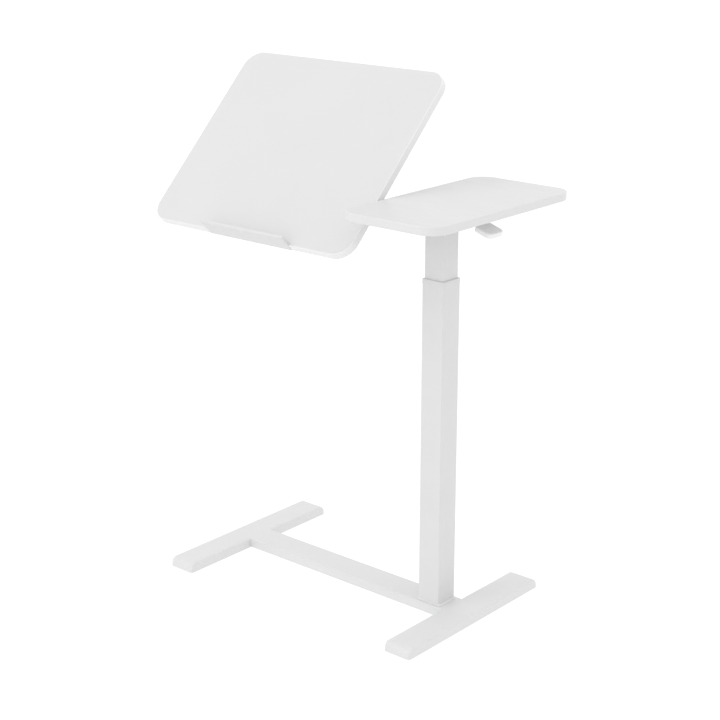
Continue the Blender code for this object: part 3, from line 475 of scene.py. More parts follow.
def rectangle_ring(half_x, half_y, corners, height, steps=CORNER_STEPS, support=SUPPORT):
    """A rounded rectangle round the Z axis. The four corner radii run anticlockwise from +X +Y."""
    ring = []
    for quarter, (sign_x, sign_y) in enumerate(((1, 1), (-1, 1), (-1, -1), (1, -1))):
        radius = corners[quarter]
        centre = Vector((sign_x * (half_x - radius), sign_y * (half_y - radius)))
        start = pi / 2 * quarter
        arc = [start + pi / 2 * step / steps for step in range(steps + 1)]
        arc = [centre + radius * Vector((cos(angle), sin(angle))) for angle in arc]
        along_in = Vector((-sin(start), cos(start)))
        along_out = Vector((-cos(start), -sin(start)))
        arc = [arc[0] - support * along_in, *arc, arc[-1] + support * along_out]
        ring += [(point.x, point.y, height) for point in arc]
    return ring


def circle_ring(radius, height, sides=SIDES):
    angles = [2 * pi * i / sides for i in range(sides)]
    return [(radius * cos(angle), radius * sin(angle), height) for angle in angles]


def cross_ring(reach, width, height):
    """A cross recess, with as many points as a circle."""
    quarter = [(reach, 0), (reach, width), ((reach + width) / 2, width), (width, width)]
    quarter += [(width, (reach + width) / 2), (width, reach)]
    ring = []
    for turn in range(4):
        for x, y in quarter:
            for _ in range(turn):
                x, y = -y, x
            ring.append((x, y, height))
    return ring


def hexagon_ring(across, height, sides=SIDES):
    ring = []
    for i in range(sides):
        angle = 2 * pi * i / sides
        offset = (angle + pi / 6) % (pi / 3) - pi / 6
        radius = across / 2 / cos(offset)
        ring.append((radius * cos(angle), radius * sin(angle), height))
    return ring


def arris(radius, steps=ARRIS_STEPS):
    """(inset, rise) of a rounded edge, from the flat face to the side."""
    turns = [pi / 2 * step / steps for step in range(steps + 1)]
    return [(radius * (1 - sin(turn)), radius * (1 - cos(turn))) for turn in turns]


def linked(name, mesh):
    made = bpy.data.objects.new(name, mesh)
    bpy.context.scene.collection.objects.link(made)
    return made


def loft(name, rings, matrix=UPRIGHT, loop=False):
    """A skin over rings with equal numbers of points, with flat ends or joined round in a loop."""
    mesh_data = bmesh.new()
    rows = [[mesh_data.verts.new(matrix @ Vector(point)) for point in ring] for ring in rings]
    pairs = list(zip(rows, rows[1:]))
    if loop:
        pairs.append((rows[-1], rows[0]))
    for first, second in pairs:
        for i in range(len(first)):
            j = (i + 1) % len(first)
            mesh_data.faces.new((first[i], first[j], second[j], second[i]))
    if not loop:
        mesh_data.faces.new(rows[0][::-1])
        mesh_data.faces.new(rows[-1])
    bmesh.ops.recalc_face_normals(mesh_data, faces=mesh_data.faces)
    mesh = bpy.data.meshes.new(name)
    mesh_data.to_mesh(mesh)
    mesh_data.free()
    return linked(name, mesh)


def slab_rings(half_x, half_y, corners, low, high, edge, steps=CORNER_STEPS):
    """Rings of a block with rounded upright corners and a rounded edge round its top and bottom."""
    profile = [(edge + SUPPORT, 0.0), *arris(edge), (0.0, edge + SUPPORT)]
    levels = [(inset, low + rise) for inset, rise in profile]
    levels += [(inset, high - rise) for inset, rise in reversed(profile)]
    rings = []
    for inset, height in levels:
        radii = [max(radius - inset, LEAST_CORNER) for radius in corners]
        rings.append(rectangle_ring(half_x - inset, half_y - inset, radii, height, steps))
    return rings


def slab(name, low, high, corner, edge, matrix=UPRIGHT, steps=CORNER_STEPS):
    """A block between two corners, lofted upwards."""
    size = (high - low) / 2
    centre = (high + low) / 2
    rings = slab_rings(size.x, size.y, [corner] * 4, -size.z, size.z, edge, steps)
    return loft(name, rings, matrix @ Matrix.Translation(centre))


def bar(name, low, high, corner, edge, matrix=UPRIGHT):
    """A block between two corners, lofted along X."""
    size = (high - low) / 2
    centre = (high + low) / 2
    rings = slab_rings(size.y, size.z, [corner] * 4, -size.x, size.x, edge, BAR_STEPS)
    return loft(name, rings, matrix @ Matrix.Translation(centre) @ ALONG_X)


def tube_rings(half_x, half_y, corner, wall, low, high):
    inner = max(corner - wall, LEAST_BORE_CORNER)
    edge = TUBE_EDGE
    levels = [(0.0, low + edge, corner), (0.0, high - edge, corner), (edge, high, corner)]
    levels += [(wall, high, inner), (wall, low, inner), (edge, low, corner)]
    return [
        rectangle_ring(half_x - inset, half_y - inset, [radius] * 4, height, TUBE_STEPS)
        for inset, height, radius in levels
    ]


def tube_up(name, low, high, corner, wall):
    size = (high - low) / 2
    centre = (high + low) / 2
    rings = tube_rings(size.x, size.y, corner, wall, -size.z, size.z)
    return loft(name, rings, Matrix.Translation(centre), loop=True)


def tube_along(name, low, high, corner, wall):
    size = (high - low) / 2
    centre = (high + low) / 2
    rings = tube_rings(size.y, size.z, corner, wall, -size.x, size.x)
    return loft(name, rings, Matrix.Translation(centre) @ ALONG_X, loop=True)


def turned(name, profile, matrix=UPRIGHT, sides=SIDES, loop=False):
    rings = [circle_ring(radius, height, sides) for radius, height in profile]
    return loft(name, rings, matrix, loop)


def settle(piece):
    """Applies the modifiers and shades the piece smooth, except across its hard edges."""
    if piece.modifiers:
        graph = bpy.context.evaluated_depsgraph_get()
        mesh = bpy.data.meshes.new_from_object(piece.evaluated_get(graph))
        piece.modifiers.clear()
        piece.data = mesh
    for polygon in piece.data.polygons:
        polygon.use_smooth = True
    piece.data.set_sharp_from_angle(angle=SMOOTH_ANGLE)
    return piece


def combined(piece, others, operation, material=None):
    """A Boolean of the piece with each of the others in turn, which are used up."""
    for other in others:
        if material:
            other.data.materials.append(material)
        modifier = piece.modifiers.new(other.name, "BOOLEAN")
        modifier.operation = operation
        modifier.solver = "EXACT"
        modifier.material_mode = "TRANSFER"
        modifier.object = other
    settle(piece)
    for other in others:
        bpy.data.objects.remove(other)
    return piece


def cut(piece, cutters, material=None):
    return combined(piece, cutters, "DIFFERENCE", material)


def fused(piece, others):
    return combined(piece, others, "UNION")


def finish(piece, body, nodes, material=None):
    """Gives the piece its material and its body, and hides the CAD nodes that it stands for."""
    settle(piece)
    if material:
        piece.data.materials.clear()
        piece.data.materials.append(material)
    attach(piece, body)
    if nodes:
        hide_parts(*nodes)
    return piece


def smoothed_copy(name, node, width, segments=2):
    """A finer copy of a small CAD node, with its edges rounded."""
    source = frame["nodes"][node]
    mesh_data = bmesh.new()
    mesh_data.from_mesh(source.data)
    bmesh.ops.remove_doubles(mesh_data, verts=mesh_data.verts, dist=MERGE_DISTANCE)
    bmesh.ops.dissolve_limit(
        mesh_data, angle_limit=FLAT_ANGLE, verts=mesh_data.verts, edges=mesh_data.edges
    )
    mesh = bpy.data.meshes.new(name)
    mesh_data.to_mesh(mesh)
    mesh_data.free()
    made = linked(name, mesh)
    bevel = made.modifiers.new("Bevel", "BEVEL")
    bevel.width = width
    bevel.segments = segments
    bevel.limit_method = "ANGLE"
    bevel.angle_limit = BEVEL_ANGLE
    bevel.use_clamp_overlap = True
    return made


# ---------------------------------------------------------------- base


def make_foot(name, node):
    low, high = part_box(node)
    size = (high - low) / 2
    centre = (high + low) / 2
    rings = [
        rectangle_ring(size.x, size.y, [FOOT_EDGE] * 4, height)
        for height in (-size.z, size.z - FOOT_NOSE - SUPPORT)
    ]
    for step in range(FOOT_STEPS + 1):
        turn = pi / 2 * step / FOOT_STEPS
        rise = FOOT_NOSE * sin(turn)
        end_inset = FOOT_NOSE * (1 - cos(turn))
        above = max(rise - (FOOT_NOSE - FOOT_EDGE), 0.0)
        side_inset = FOOT_EDGE - (FOOT_EDGE**2 - above**2) ** 0.5
        radius = max(FOOT_EDGE - side_inset * FOOT_CORNER_SHARE, FOOT_CORNER)
        height = size.z - FOOT_NOSE + rise
        rings.append(rectangle_ring(size.x - side_inset, size.y - end_inset, [radius] * 4, height))
    inner = SUPPORT + FOOT_EDGE
    end_inner = size.y - FOOT_NOSE - SUPPORT
    rings.append(rectangle_ring(size.x - inner, end_inner, [FOOT_CORNER] * 4, size.z))
    foot = loft(name, rings, Matrix.Translation(centre))
    pockets = []
    near, far = POCKET_NEAR, size.y - POCKET_END
    bay = (far - near - (BAYS - 1) * RIB) / BAYS
    for end in (-1, 1):
        for index in range(BAYS):
            start = near + index * (bay + RIB)
            span = sorted((end * start, end * (start + bay)))
            corners = (
                Vector((low.x + FOOT_WALL, span[0], low.z - 2 * PAST)),
                Vector((high.x - FOOT_WALL, span[1], high.z - FOOT_ROOF)),
            )
            pocket = f"{name}_pocket_{end}_{index}"
            pockets.append(slab(pocket, *corners, POCKET_CORNER, POCKET_ARRIS, steps=5))
    cut(foot, pockets)
    sockets = []
    wide, narrow = BASE_SCREW[0] + 2 * GAP, BASE_SCREW[2] + GAP
    for number in range(1, 5):
        screw = f"foot_screw_{number}"
        screw_low, screw_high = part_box(screw)
        if low.x < (screw_low.x + screw_high.x) / 2 < high.x:
            top = screw_low.z + BASE_SCREW[1] + 2 * GAP
            profile = [(wide, low.z - PAST), (wide, top)]
            profile += [(narrow, top + SHOULDER), (narrow, screw_high.z + GAP)]
            sockets.append(turned(f"{name}_socket_{number}", profile, axis_of(screw)))
    cut(foot, sockets)
    return finish(foot, "base", [node], BASE_COAT)


def make_crossbar():
    low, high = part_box("crossbar")
    low.z += CROSSBAR_LIFT
    low.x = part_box("foot_left")[1].x - FOOT_EDGE
    high.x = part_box("foot_right")[0].x + FOOT_EDGE
    piece = tube_along("crossbar_tube", low, high, CROSSBAR_CORNER, CROSSBAR_WALL)
    wide, narrow = BASE_SCREW[0] + BOLT_ACCESS, BASE_SCREW[2] + GAP
    access = [(wide, low.z - PAST), (wide, low.z + 2 * PAST)]
    passage = [(narrow, high.z - 2 * PAST), (narrow, high.z + PAST)]
    holes = []
    for number in range(1, 5):
        matrix = axis_of(f"column_bolt_{number}")
        holes.append(turned(f"crossbar_access_{number}", access, matrix))
        holes.append(turned(f"crossbar_passage_{number}", passage, matrix))
    cut(piece, holes)
    finish(piece, "base", ["crossbar"], BASE_COAT)


def make_glide(number):
    low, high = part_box(f"glide_{number}")
    radius = (high.x - low.x) / 2
    top = high.z - GLIDE_TOP
    profile = [(GLIDE_STEM, top), (radius - GLIDE_TOP_EDGE, top), (radius, top - GLIDE_TOP_EDGE)]
    profile += [(radius - inset, low.z + rise) for inset, rise in reversed(arris(GLIDE_ARRIS))]
    profile += [(inner, low.z + rise) for inner, rise in GLIDE_HOLLOW]
    piece = turned(f"glide_pad_{number}", profile, axis_of(f"glide_{number}"), GLIDE_SIDES)
    finish(piece, "base", [f"glide_{number}"], GREY_PLASTIC)


def screw_profile(size, length, drive):
    """Rings of a pan-head screw, its head down. The drive is a cross or a hexagon."""
    head, height, shank = size
    edge = 0.0001
    profile = [(shank * 0.35, length), (shank, length - shank), (shank, edge)]
    profile += [(shank + edge, 0.0), (head - edge, 0.0), (head, -edge)]
    for step in range(1, HEAD_STEPS + 1):
        turn = pi / 2 * step / HEAD_STEPS
        reach = HEAD_FLAT + (1 - HEAD_FLAT) * cos(turn)
        drop = HEAD_SKIRT + (1 - HEAD_SKIRT) * sin(turn)
        profile.append((reach * head, -drop * height))
    rings = [circle_ring(radius, level) for radius, level in profile]
    floor = -DRIVE_FLOOR * height
    if drive == "cross":
        for (reach, width), level in ((CROSS_MOUTH, -height), (CROSS_BOTTOM, floor)):
            rings.append(cross_ring(reach * head, width * head, level))
    else:
        for across, level in ((HEXAGON_MOUTH, -height), (HEXAGON_BOTTOM, floor)):
            rings.append(hexagon_ring(across * head, level))
    return rings


def make_screws(prefix, count, size, drive, body, matrix=UPRIGHT):
    for number in range(1, count + 1):
        low, high = flat_box(f"{prefix}_{number}", matrix)
        place = Vector(((low.x + high.x) / 2, (low.y + high.y) / 2, low.z + size[1]))
        turn = Matrix.Rotation(radians(SCREW_TURN * number), 4, "Z")
        rings = screw_profile(size, high.z - place.z, drive)
        piece = loft(f"{prefix}_{number}_fine", rings, matrix @ Matrix.Translation(place) @ turn)
        finish(piece, body, [f"{prefix}_{number}"], STEEL)


def make_base_plate():
    low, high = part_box("base_plate")
    low.z -= SEAM
    piece = slab("base_plate_fine", low, high, *BASE_PLATE_EDGES, steps=PLATE_STEPS)
    narrow = BASE_SCREW[2] + GAP
    profile = [(narrow, low.z - PAST), (narrow, high.z + PAST)]
    holes = [
        turned(f"plate_hole_{number}", profile, axis_of(f"column_bolt_{number}"))
        for number in range(1, 5)
    ]
    cut(piece, holes)
    # The plate gets the lightened coat: painted light against the shade where the column meets the crossbar.
    finish(piece, "base", ["base_plate"], LIGHTENED_PLATE_COAT)


def make_columns():
    low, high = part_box("outer_tube")
    low.z -= SEAM
    high.z += SEAM
    outer = tube_up("outer_column", low, high, TUBE_CORNER, TUBE_WALL)
    finish(outer, "base", ["outer_tube"], COAT)
    low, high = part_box("inner_tube")
    inner = tube_up("inner_column", low, high, TUBE_CORNER, TUBE_WALL)
    finish(inner, "lift", ["inner_tube"], COAT)


def make_collar():
    low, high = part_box("collar")
    inner_low, inner_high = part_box("inner_tube")
    half = (high.x - low.x) / 2
    bore = (inner_high.x - inner_low.x) / 2 + COLLAR_RUN
    sleeve = OUTER_SIDE / 2 - TUBE_WALL - SLEEVE_ROOM
    bottom = high.z - COLLAR_HEIGHT
    levels = [(half - inset, bottom + rise, COLLAR_CORNER) for inset, rise in arris(COLLAR_FOOT)]
    levels.append((half, bottom + COLLAR_FOOT + SUPPORT, COLLAR_CORNER))
    shoulder = high.z - COLLAR_SLOPE
    levels.append((half, shoulder - COLLAR_ARRIS - SUPPORT, COLLAR_CORNER))
    for inset, rise in reversed(arris(COLLAR_ARRIS)):
        levels.append((half - inset, shoulder - rise, COLLAR_CORNER))
    levels += [(bore + COLLAR_LEAD, high.z, TUBE_CORNER), (bore, high.z - COLLAR_LEAD, TUBE_CORNER)]
    levels.append((bore, low.z, TUBE_CORNER - COLLAR_BORE_EASE))
    levels += [(sleeve, low.z, SLEEVE_CORNER), (sleeve, bottom, SLEEVE_CORNER)]
    rings = [
        rectangle_ring(reach, reach, [radius] * 4, height, TUBE_STEPS)
        for reach, height, radius in levels
    ]
    piece = loft("collar_moulding", rings, axis_of("collar"), loop=True)
    finish(piece, "base", ["collar"], PLASTIC)


def make_base():
    for node in ("foot_left", "foot_right"):
        make_foot(f"{node}_casting", node)
    make_crossbar()
    for number in range(1, 5):
        make_glide(number)
    make_screws("foot_screw", 4, BASE_SCREW, "hexagon", "base")
    make_screws("column_bolt", 4, BASE_SCREW, "hexagon", "base")
    make_base_plate()
    make_columns()
    make_collar()


# ---------------------------------------------------------------- tops


def paint_board(piece, low, high, matrix, band):
    """Laminate above, backing below and a band round the side. A cut keeps its chipboard."""
    unmoved = matrix.inverted()
    back = unmoved.to_3x3()
    old = list(piece.data.materials)
    cut_faces = {
        polygon.index
        for polygon in piece.data.polygons
        if old and old[polygon.material_index] == CHIPBOARD
    }
    piece.data.materials.clear()
    for material in (LAMINATE, BACKING, band, CHIPBOARD):
        piece.data.materials.append(material)
    for polygon in piece.data.polygons:
        normal = back @ polygon.normal
        height = (unmoved @ polygon.center).z
        if polygon.index in cut_faces:
            polygon.material_index = 3
        elif normal.z > LEVEL and height > high.z - FLUSH:
            polygon.material_index = 0
        elif normal.z < -LEVEL and height < low.z + FLUSH:
            polygon.material_index = 1
        else:
            polygon.material_index = 2


def board(name, low, high, matrix=UPRIGHT):
    piece = slab(name, low, high, BOARD_CORNER, BOARD_ARRIS, matrix, BOARD_STEPS)
    piece.data.materials.append(EDGING)
    return piece


def screw_holes(prefix, count, size, low, matrix):
    radius = size[2] + GAP
    holes = []
    for number in range(1, count + 1):
        screw_low, screw_high = flat_box(f"{prefix}_{number}", matrix)
        middle = (screw_low + screw_high) / 2
        profile = [(radius, low - HOLE_DEPTH), (radius, screw_high.z + GAP)]
        turn = matrix @ Matrix.Translation((middle.x, middle.y, 0))
        holes.append(turned(f"{prefix}_hole_{number}", profile, turn, HOLE_SIDES))
    return holes


def make_small_top():
    low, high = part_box("small_top")
    piece = board("small_top_board", low, high)
    cut(piece, screw_holes("small_top_screw", 4, WOOD_SCREW, low.z, UPRIGHT), CHIPBOARD)
    paint_board(piece, low, high, UPRIGHT, EDGING)
    finish(piece, "lift", ["small_top"])
    make_screws("small_top_screw", 4, WOOD_SCREW, "cross", "lift")


def make_panel():
    low, high = flat_box("tilt_panel", PANEL_TILT)
    piece = board("reading_panel_board", low, high, PANEL_TILT)
    cutters = []
    for number in (1, 2):
        pin_low, pin_high = flat_box(f"hinge_pin_{number}", PANEL_TILT)
        middle = (pin_low + pin_high) / 2
        half = (pin_high.x - pin_low.x) / 2 + HINGE_RECESS_END
        radius = KNUCKLE_RADIUS + HINGE_RECESS_ROOM
        turn = PANEL_TILT @ Matrix.Translation(middle) @ ALONG_X
        recess = [(radius, -half), (radius, half)]
        cutters.append(turned(f"panel_recess_{number}", recess, turn, ROD_SIDES))
    ledge_low, ledge_high = flat_box("book_ledge", PANEL_TILT)
    fit = GAP - SEAM
    outside = low - Vector((0, FAR_PAST, FAR_PAST))
    rebate = (
        Vector((ledge_low.x - fit, outside.y, outside.z)),
        Vector((ledge_high.x + fit, ledge_low.y + LEDGE_THICKNESS + fit, high.z + FAR_PAST)),
    )
    cutters.append(slab("panel_rebate", *rebate, CUT_CORNER, CUT_ARRIS, PANEL_TILT, 2))
    inset = LEDGE_LEG_INSET - GAP
    leg_top = low.z + HINGE_PLATE + GAP
    recess = (
        Vector((ledge_low.x + inset, outside.y, outside.z)),
        Vector((ledge_high.x - inset, ledge_high.y + GAP, leg_top)),
    )
    cutters.append(slab("panel_leg_recess", *recess, CUT_CORNER, CUT_ARRIS, PANEL_TILT, 2))
    cutters += screw_holes("leaf_screw", 4, WOOD_SCREW, low.z, PANEL_TILT)
    cutters += screw_holes("ledge_screw", 2, WOOD_SCREW, low.z, PANEL_TILT)
    cut(piece, cutters, CHIPBOARD)
    # The panel's band is the lightened edging: painted light against the shade in the gap by the small top.
    paint_board(piece, low, high, PANEL_TILT, LIGHTENED_PANEL_EDGING)
    finish(piece, "panel", ["tilt_panel"])
    make_screws("leaf_screw", 4, WOOD_SCREW, "cross", "panel", PANEL_TILT)
    make_screws("ledge_screw", 2, WOOD_SCREW, "cross", "panel", PANEL_TILT)


def make_ledge():
    """The book ledge: an upright web with soft edges, and a leg let into the panel's underside."""
    low, high = flat_box("book_ledge", PANEL_TILT)
    web_high = Vector((high.x, low.y + LEDGE_THICKNESS, high.z))
    web = slab("book_ledge_moulding", low, web_high, LEDGE_ARRIS, LEDGE_ARRIS, PANEL_TILT, 8)
    leg_low = Vector((low.x + LEDGE_LEG_INSET, low.y + LEDGE_LEG_START, low.z))
    leg_high = Vector((high.x - LEDGE_LEG_INSET, high.y, low.z + HINGE_PLATE))
    leg = slab("ledge_leg", leg_low, leg_high, LEDGE_LEG_CORNER, CUT_ARRIS, PANEL_TILT, 2)
    fused(web, [leg])
    cut(web, screw_holes("ledge_screw", 2, WOOD_SCREW, low.z, PANEL_TILT))
    finish(web, "panel", ["book_ledge"], LEDGE_PLASTIC)


# ---------------------------------------------------------------- frame under the tops


def weld(name, start, end, out, body):
    """A ripple weld between two points, with its crown along out."""
    along = (end - start).normalized()
    out = out.normalized()
    across = along.cross(out)
    length = (end - start).length
    count = int(length / WELD_PITCH * WELD_STEPS)
    rings = []
    for step in range(count + 1):
        travelled = length * step / count
        near_end = min(travelled, length - travelled) / WELD_TAPER
        swell = WELD_RADIUS * (WELD_START + (1 - WELD_START) * min(near_end, 1.0) ** 0.5)
        ripple = 1.0 + WELD_RIPPLE * abs(sin(pi * travelled / WELD_PITCH))
        centre = start + along * travelled
        ring = []
        for i in range(WELD_SIDES):
            angle = 2 * pi * i / WELD_SIDES
            ring.append(centre + (out * cos(angle) + across * sin(angle)) * swell * ripple)
        rings.append(ring)
    piece = loft(name, rings)
    finish(piece, body, [], COAT)


def make_welds():
    low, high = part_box("inner_tube")
    inset = TUBE_CORNER + WELD_CORNER
    sides = (
        ((low.x + inset, low.y), (high.x - inset, low.y), (0, -1)),
        ((low.x + inset, high.y), (high.x - inset, high.y), (0, 1)),
        ((low.x, low.y + inset), (low.x, high.y - inset), (-1, 0)),
        ((high.x, low.y + inset), (high.x, high.y - inset), (1, 0)),
    )
    for number, (start, end, out) in enumerate(sides, 1):
        ends = Vector((*start, high.z)), Vector((*end, high.z))
        weld(f"column_weld_{number}", *ends, Vector((*out, -1)), "lift")
    plate_low, plate_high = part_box("head_plate")
    starts = (plate_low.x + FRAME_WELD_INSET, plate_high.x - FRAME_WELD_INSET - FRAME_WELD)
    number = 1
    for node in ("support_arm", "rear_rail"):
        low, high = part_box(node)
        for y, side in ((low.y, -1), (high.y, 1)):
            if plate_low.y + 0.001 < y < plate_high.y - 0.001:
                for x in starts:
                    start = Vector((x, y, plate_high.z))
                    end = start + Vector((FRAME_WELD, 0, 0))
                    weld(f"frame_weld_{number}", start, end, Vector((0, side, 1)), "lift")
                    number += 1


def make_tube_cap(node, tube, side):
    """A moulded plug in the end of a flat tube that faces along side."""
    low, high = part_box(node)
    tube_low, tube_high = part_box(tube)
    cap_low, cap_high = low.copy(), high.copy()
    inset = ARM_WALL + PLUG_ROOM
    plug_low = Vector((low.x, low.y + inset, low.z + inset))
    plug_high = Vector((high.x, high.y - inset, high.z - inset))
    if side < 0:
        cap_high.x = tube_low.x - GAP
        plug_low.x += PLUG_INSET
    else:
        cap_low.x = tube_high.x + GAP
        plug_high.x -= PLUG_INSET
    piece = bar(f"{node}_moulding", cap_low, cap_high, ARM_CORNER, CAP_ARRIS)
    fused(piece, [bar(f"{node}_plug", plug_low, plug_high, PLUG_CORNER, PLUG_ARRIS)])
    finish(piece, "lift", [node], GREY_PLASTIC)


def make_bumper(number):
    node = f"bumper_{number}"
    low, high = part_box(node)
    radius = (high.x - low.x) / 2
    height = high.z - low.z
    profile = [(radius - BUMPER_EDGE, low.z), (radius, low.z + BUMPER_EDGE)]
    for step in range(BUMPER_STEPS + 1):
        turn = pi / 2 * step / BUMPER_STEPS
        reach = BUMPER_CROWN + (radius - BUMPER_CROWN) * cos(turn)
        rise = BUMPER_SKIRT + (1 - BUMPER_SKIRT) * sin(turn)
        profile.append((reach, low.z + height * rise))
    piece = turned(f"{node}_button", profile, axis_of(node), BUMPER_SIDES)
    finish(piece, "lift", [node], RUBBER)


def rod_along(name, x_low, x_high, radius, matrix=UPRIGHT):
    """A rod on the tilt axis."""
    edge = ROD_EDGE
    profile = [(radius - edge, x_low), (radius, x_low + edge)]
    profile += [(radius, x_high - edge), (radius - edge, x_high)]
    turn = matrix @ Matrix.Translation((0, TILT_PLACE.y, TILT_PLACE.z)) @ ALONG_X
    return turned(name, profile, turn, ROD_SIDES)


def make_hinge(number):
    """A bracket with a barrel on the arm, a leaf with two ears on the panel, and their pin."""
    low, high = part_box(f"hinge_bracket_{number}")
    arm_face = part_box("support_arm")[0].y - GAP
    plate_low = Vector((low.x, arm_face - HINGE_PLATE, low.z))
    plate_high = Vector((high.x, arm_face, TILT_PLACE.z))
    name = f"hinge_bracket_{number}_fine"
    bracket = bar(name, plate_low, plate_high, BRACKET_EDGE, BRACKET_EDGE)
    fused(bracket, [rod_along(f"hinge_barrel_{number}", low.x, high.x, KNUCKLE_RADIUS)])
    cut(bracket, [rod_along("hinge_bore", low.x - FAR_PAST, high.x + FAR_PAST, HINGE_BORE)])
    finish(bracket, "lift", [f"hinge_bracket_{number}"], COAT)

    leaf_low, leaf_high = flat_box(f"hinge_leaf_{number}", PANEL_TILT)
    panel_bottom = flat_box("tilt_panel", PANEL_TILT)[0].z - GAP
    rear = TILT_PLACE.y - LEAF_REAR
    flat_low = Vector((leaf_low.x, leaf_low.y, panel_bottom - HINGE_PLATE))
    flat_high = Vector((leaf_high.x, rear, panel_bottom))
    name = f"hinge_leaf_{number}_fine"
    leaf = slab(name, flat_low, flat_high, LEAF_CORNER, LEAF_ARRIS, PANEL_TILT, 6)
    ears = []
    for side, ends in enumerate(((leaf_low.x, low.x - GAP), (high.x + GAP, leaf_high.x))):
        ear = f"hinge_ear_{number}_{side}"
        ears.append(rod_along(ear, *ends, KNUCKLE_RADIUS, PANEL_TILT))
    fused(leaf, ears)
    slot = (
        Vector((low.x - GAP, rear - LEAF_SLOT, panel_bottom - LEAF_SLOT_PAST)),
        Vector((high.x + GAP, rear + LEAF_SLOT_PAST, panel_bottom + LEAF_SLOT_PAST)),
    )
    cutters = [slab("leaf_slot", *slot, LEAF_SLOT_CORNER, CUT_ARRIS, PANEL_TILT, 3)]
    ends = (low.x - LEAF_BORE_PAST, high.x + LEAF_BORE_PAST)
    cutters.append(rod_along("leaf_bore", *ends, HINGE_BORE, PANEL_TILT))
    radius = WOOD_SCREW[2] + GAP
    profile = [(radius, panel_bottom - FAR_PAST), (radius, panel_bottom + FAR_PAST)]
    for index in (1, 2):
        screw_low, screw_high = flat_box(f"leaf_screw_{2 * number + index - 2}", PANEL_TILT)
        middle = (screw_low + screw_high) / 2
        turn = PANEL_TILT @ Matrix.Translation((middle.x, middle.y, 0))
        cutters.append(turned(f"leaf_hole_{index}", profile, turn))
    cut(leaf, cutters)
    finish(leaf, "panel", [f"hinge_leaf_{number}"], STEEL)

    pin_low, pin_high = flat_box(f"hinge_pin_{number}", PANEL_TILT)
    head = (pin_high.z - pin_low.z) / 2
    start, end = leaf_low.x - GAP, leaf_high.x + GAP
    profile = [(head * share, pin_low.x + rise) for share, rise in PIN_DOME]
    profile += [(head, start), (PIN_SHANK, start), (PIN_SHANK, end), (head, end)]
    profile += [(head * share, pin_high.x - rise) for share, rise in reversed(PIN_DOME)]
    turn = PANEL_TILT @ Matrix.Translation((0, TILT_PLACE.y, TILT_PLACE.z)) @ ALONG_X
    pin = turned(f"hinge_pin_{number}_fine", profile, turn, PIN_SIDES)
    finish(pin, "panel", [f"hinge_pin_{number}"], POLISHED)


def make_frame():
    low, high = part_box("head_plate")
    head = slab("head_plate_fine", low, high, *HEAD_PLATE_EDGES, steps=PLATE_STEPS)
    bore = [(HEAD_BORE, low.z - PAST), (HEAD_BORE, high.z + PAST)]
    cut(head, [turned("head_bore", bore, axis_of("gas_rod"), 32)])
    finish(head, "lift", ["head_plate"], COAT)
    for node in ("support_arm", "rear_rail"):
        low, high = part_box(node)
        tube = tube_along(f"{node}_tube", low, high, ARM_CORNER, ARM_WALL)
        finish(tube, "lift", [node], COAT)
    low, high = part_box("small_top_plate")
    plate = slab("small_top_plate_fine", low, high, *TOP_PLATE_EDGES, steps=TOP_PLATE_STEPS)
    cut(plate, screw_holes("small_top_screw", 4, WOOD_SCREW, low.z, UPRIGHT))
    finish(plate, "lift", ["small_top_plate"], COAT)
    for number, side in ((1, -1), (2, 1)):
        make_tube_cap(f"arm_cap_{number}", "support_arm", side)
        make_tube_cap(f"rail_cap_{number}", "rear_rail", side)
    make_welds()
    for number in (1, 2):
        make_bumper(number)
        make_hinge(number)


# ---------------------------------------------------------------- lever


def make_paddle():
    """The moulded grip: a dished top inside a raised rim, a soft edge, and a pocket underneath."""
    low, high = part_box("lever_paddle")
    length = (high.x - low.x - PADDLE_DEPTH * sin(LEVER_DROOP)) / cos(LEVER_DROOP)
    centre = (low + high) / 2
    turn = Matrix.Translation(centre) @ Matrix.Rotation(LEVER_DROOP, 4, "Y")
    half_x, half_y, half_z = length / 2, PADDLE_WIDTH / 2, PADDLE_DEPTH / 2
    corners = [PADDLE_TIP_CORNER, PADDLE_ROOT_CORNER, PADDLE_ROOT_CORNER, PADDLE_TIP_CORNER]
    soft = 0.0004
    levels = [(PADDLE_WALL + 2 * soft, half_z - PADDLE_ROOF), (PADDLE_WALL + soft, -half_z + soft)]
    levels += [(PADDLE_WALL, -half_z), (PADDLE_FOOT_ARRIS, -half_z)]
    levels += [(inset, -half_z + rise) for inset, rise in arris(PADDLE_FOOT_ARRIS, 3)]
    levels.append((0.0, 0.0))
    levels += [(inset, half_z - rise) for inset, rise in reversed(arris(PADDLE_TOP_ARRIS, 8))]
    levels += [(inset, half_z - drop) for inset, drop in PADDLE_DISH]
    rings = []
    for inset, height in levels:
        radii = [max(radius - inset, PADDLE_LEAST_CORNER) for radius in corners]
        size = (half_x - inset, half_y - inset)
        rings.append(rectangle_ring(*size, radii, height, PADDLE_STEPS, PADDLE_SUPPORT))
    piece = loft("lever_grip", rings, turn)
    arm_low, arm_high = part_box("lever_arm")
    thick = ARM_THICKNESS / 2
    width = (arm_high.y - arm_low.y) / 2 + GAP
    raised = half_z - ARM_SLOT_SKIN - thick + GAP - ARM_SLOT_DROP
    slot_low = Vector((-half_x - FAR_PAST, -width, raised - thick))
    slot_high = Vector((-half_x + ARM_SLOT_DEPTH, width, raised + thick))
    cut(piece, [bar("grip_slot", slot_low, slot_high, CUT_CORNER, CUT_ARRIS, turn)])
    # The paddle gets the lightened nylon: painted light against the small top's shade.
    finish(piece, "lever", ["lever_paddle"], LIGHTENED_LEVER_PLASTIC)


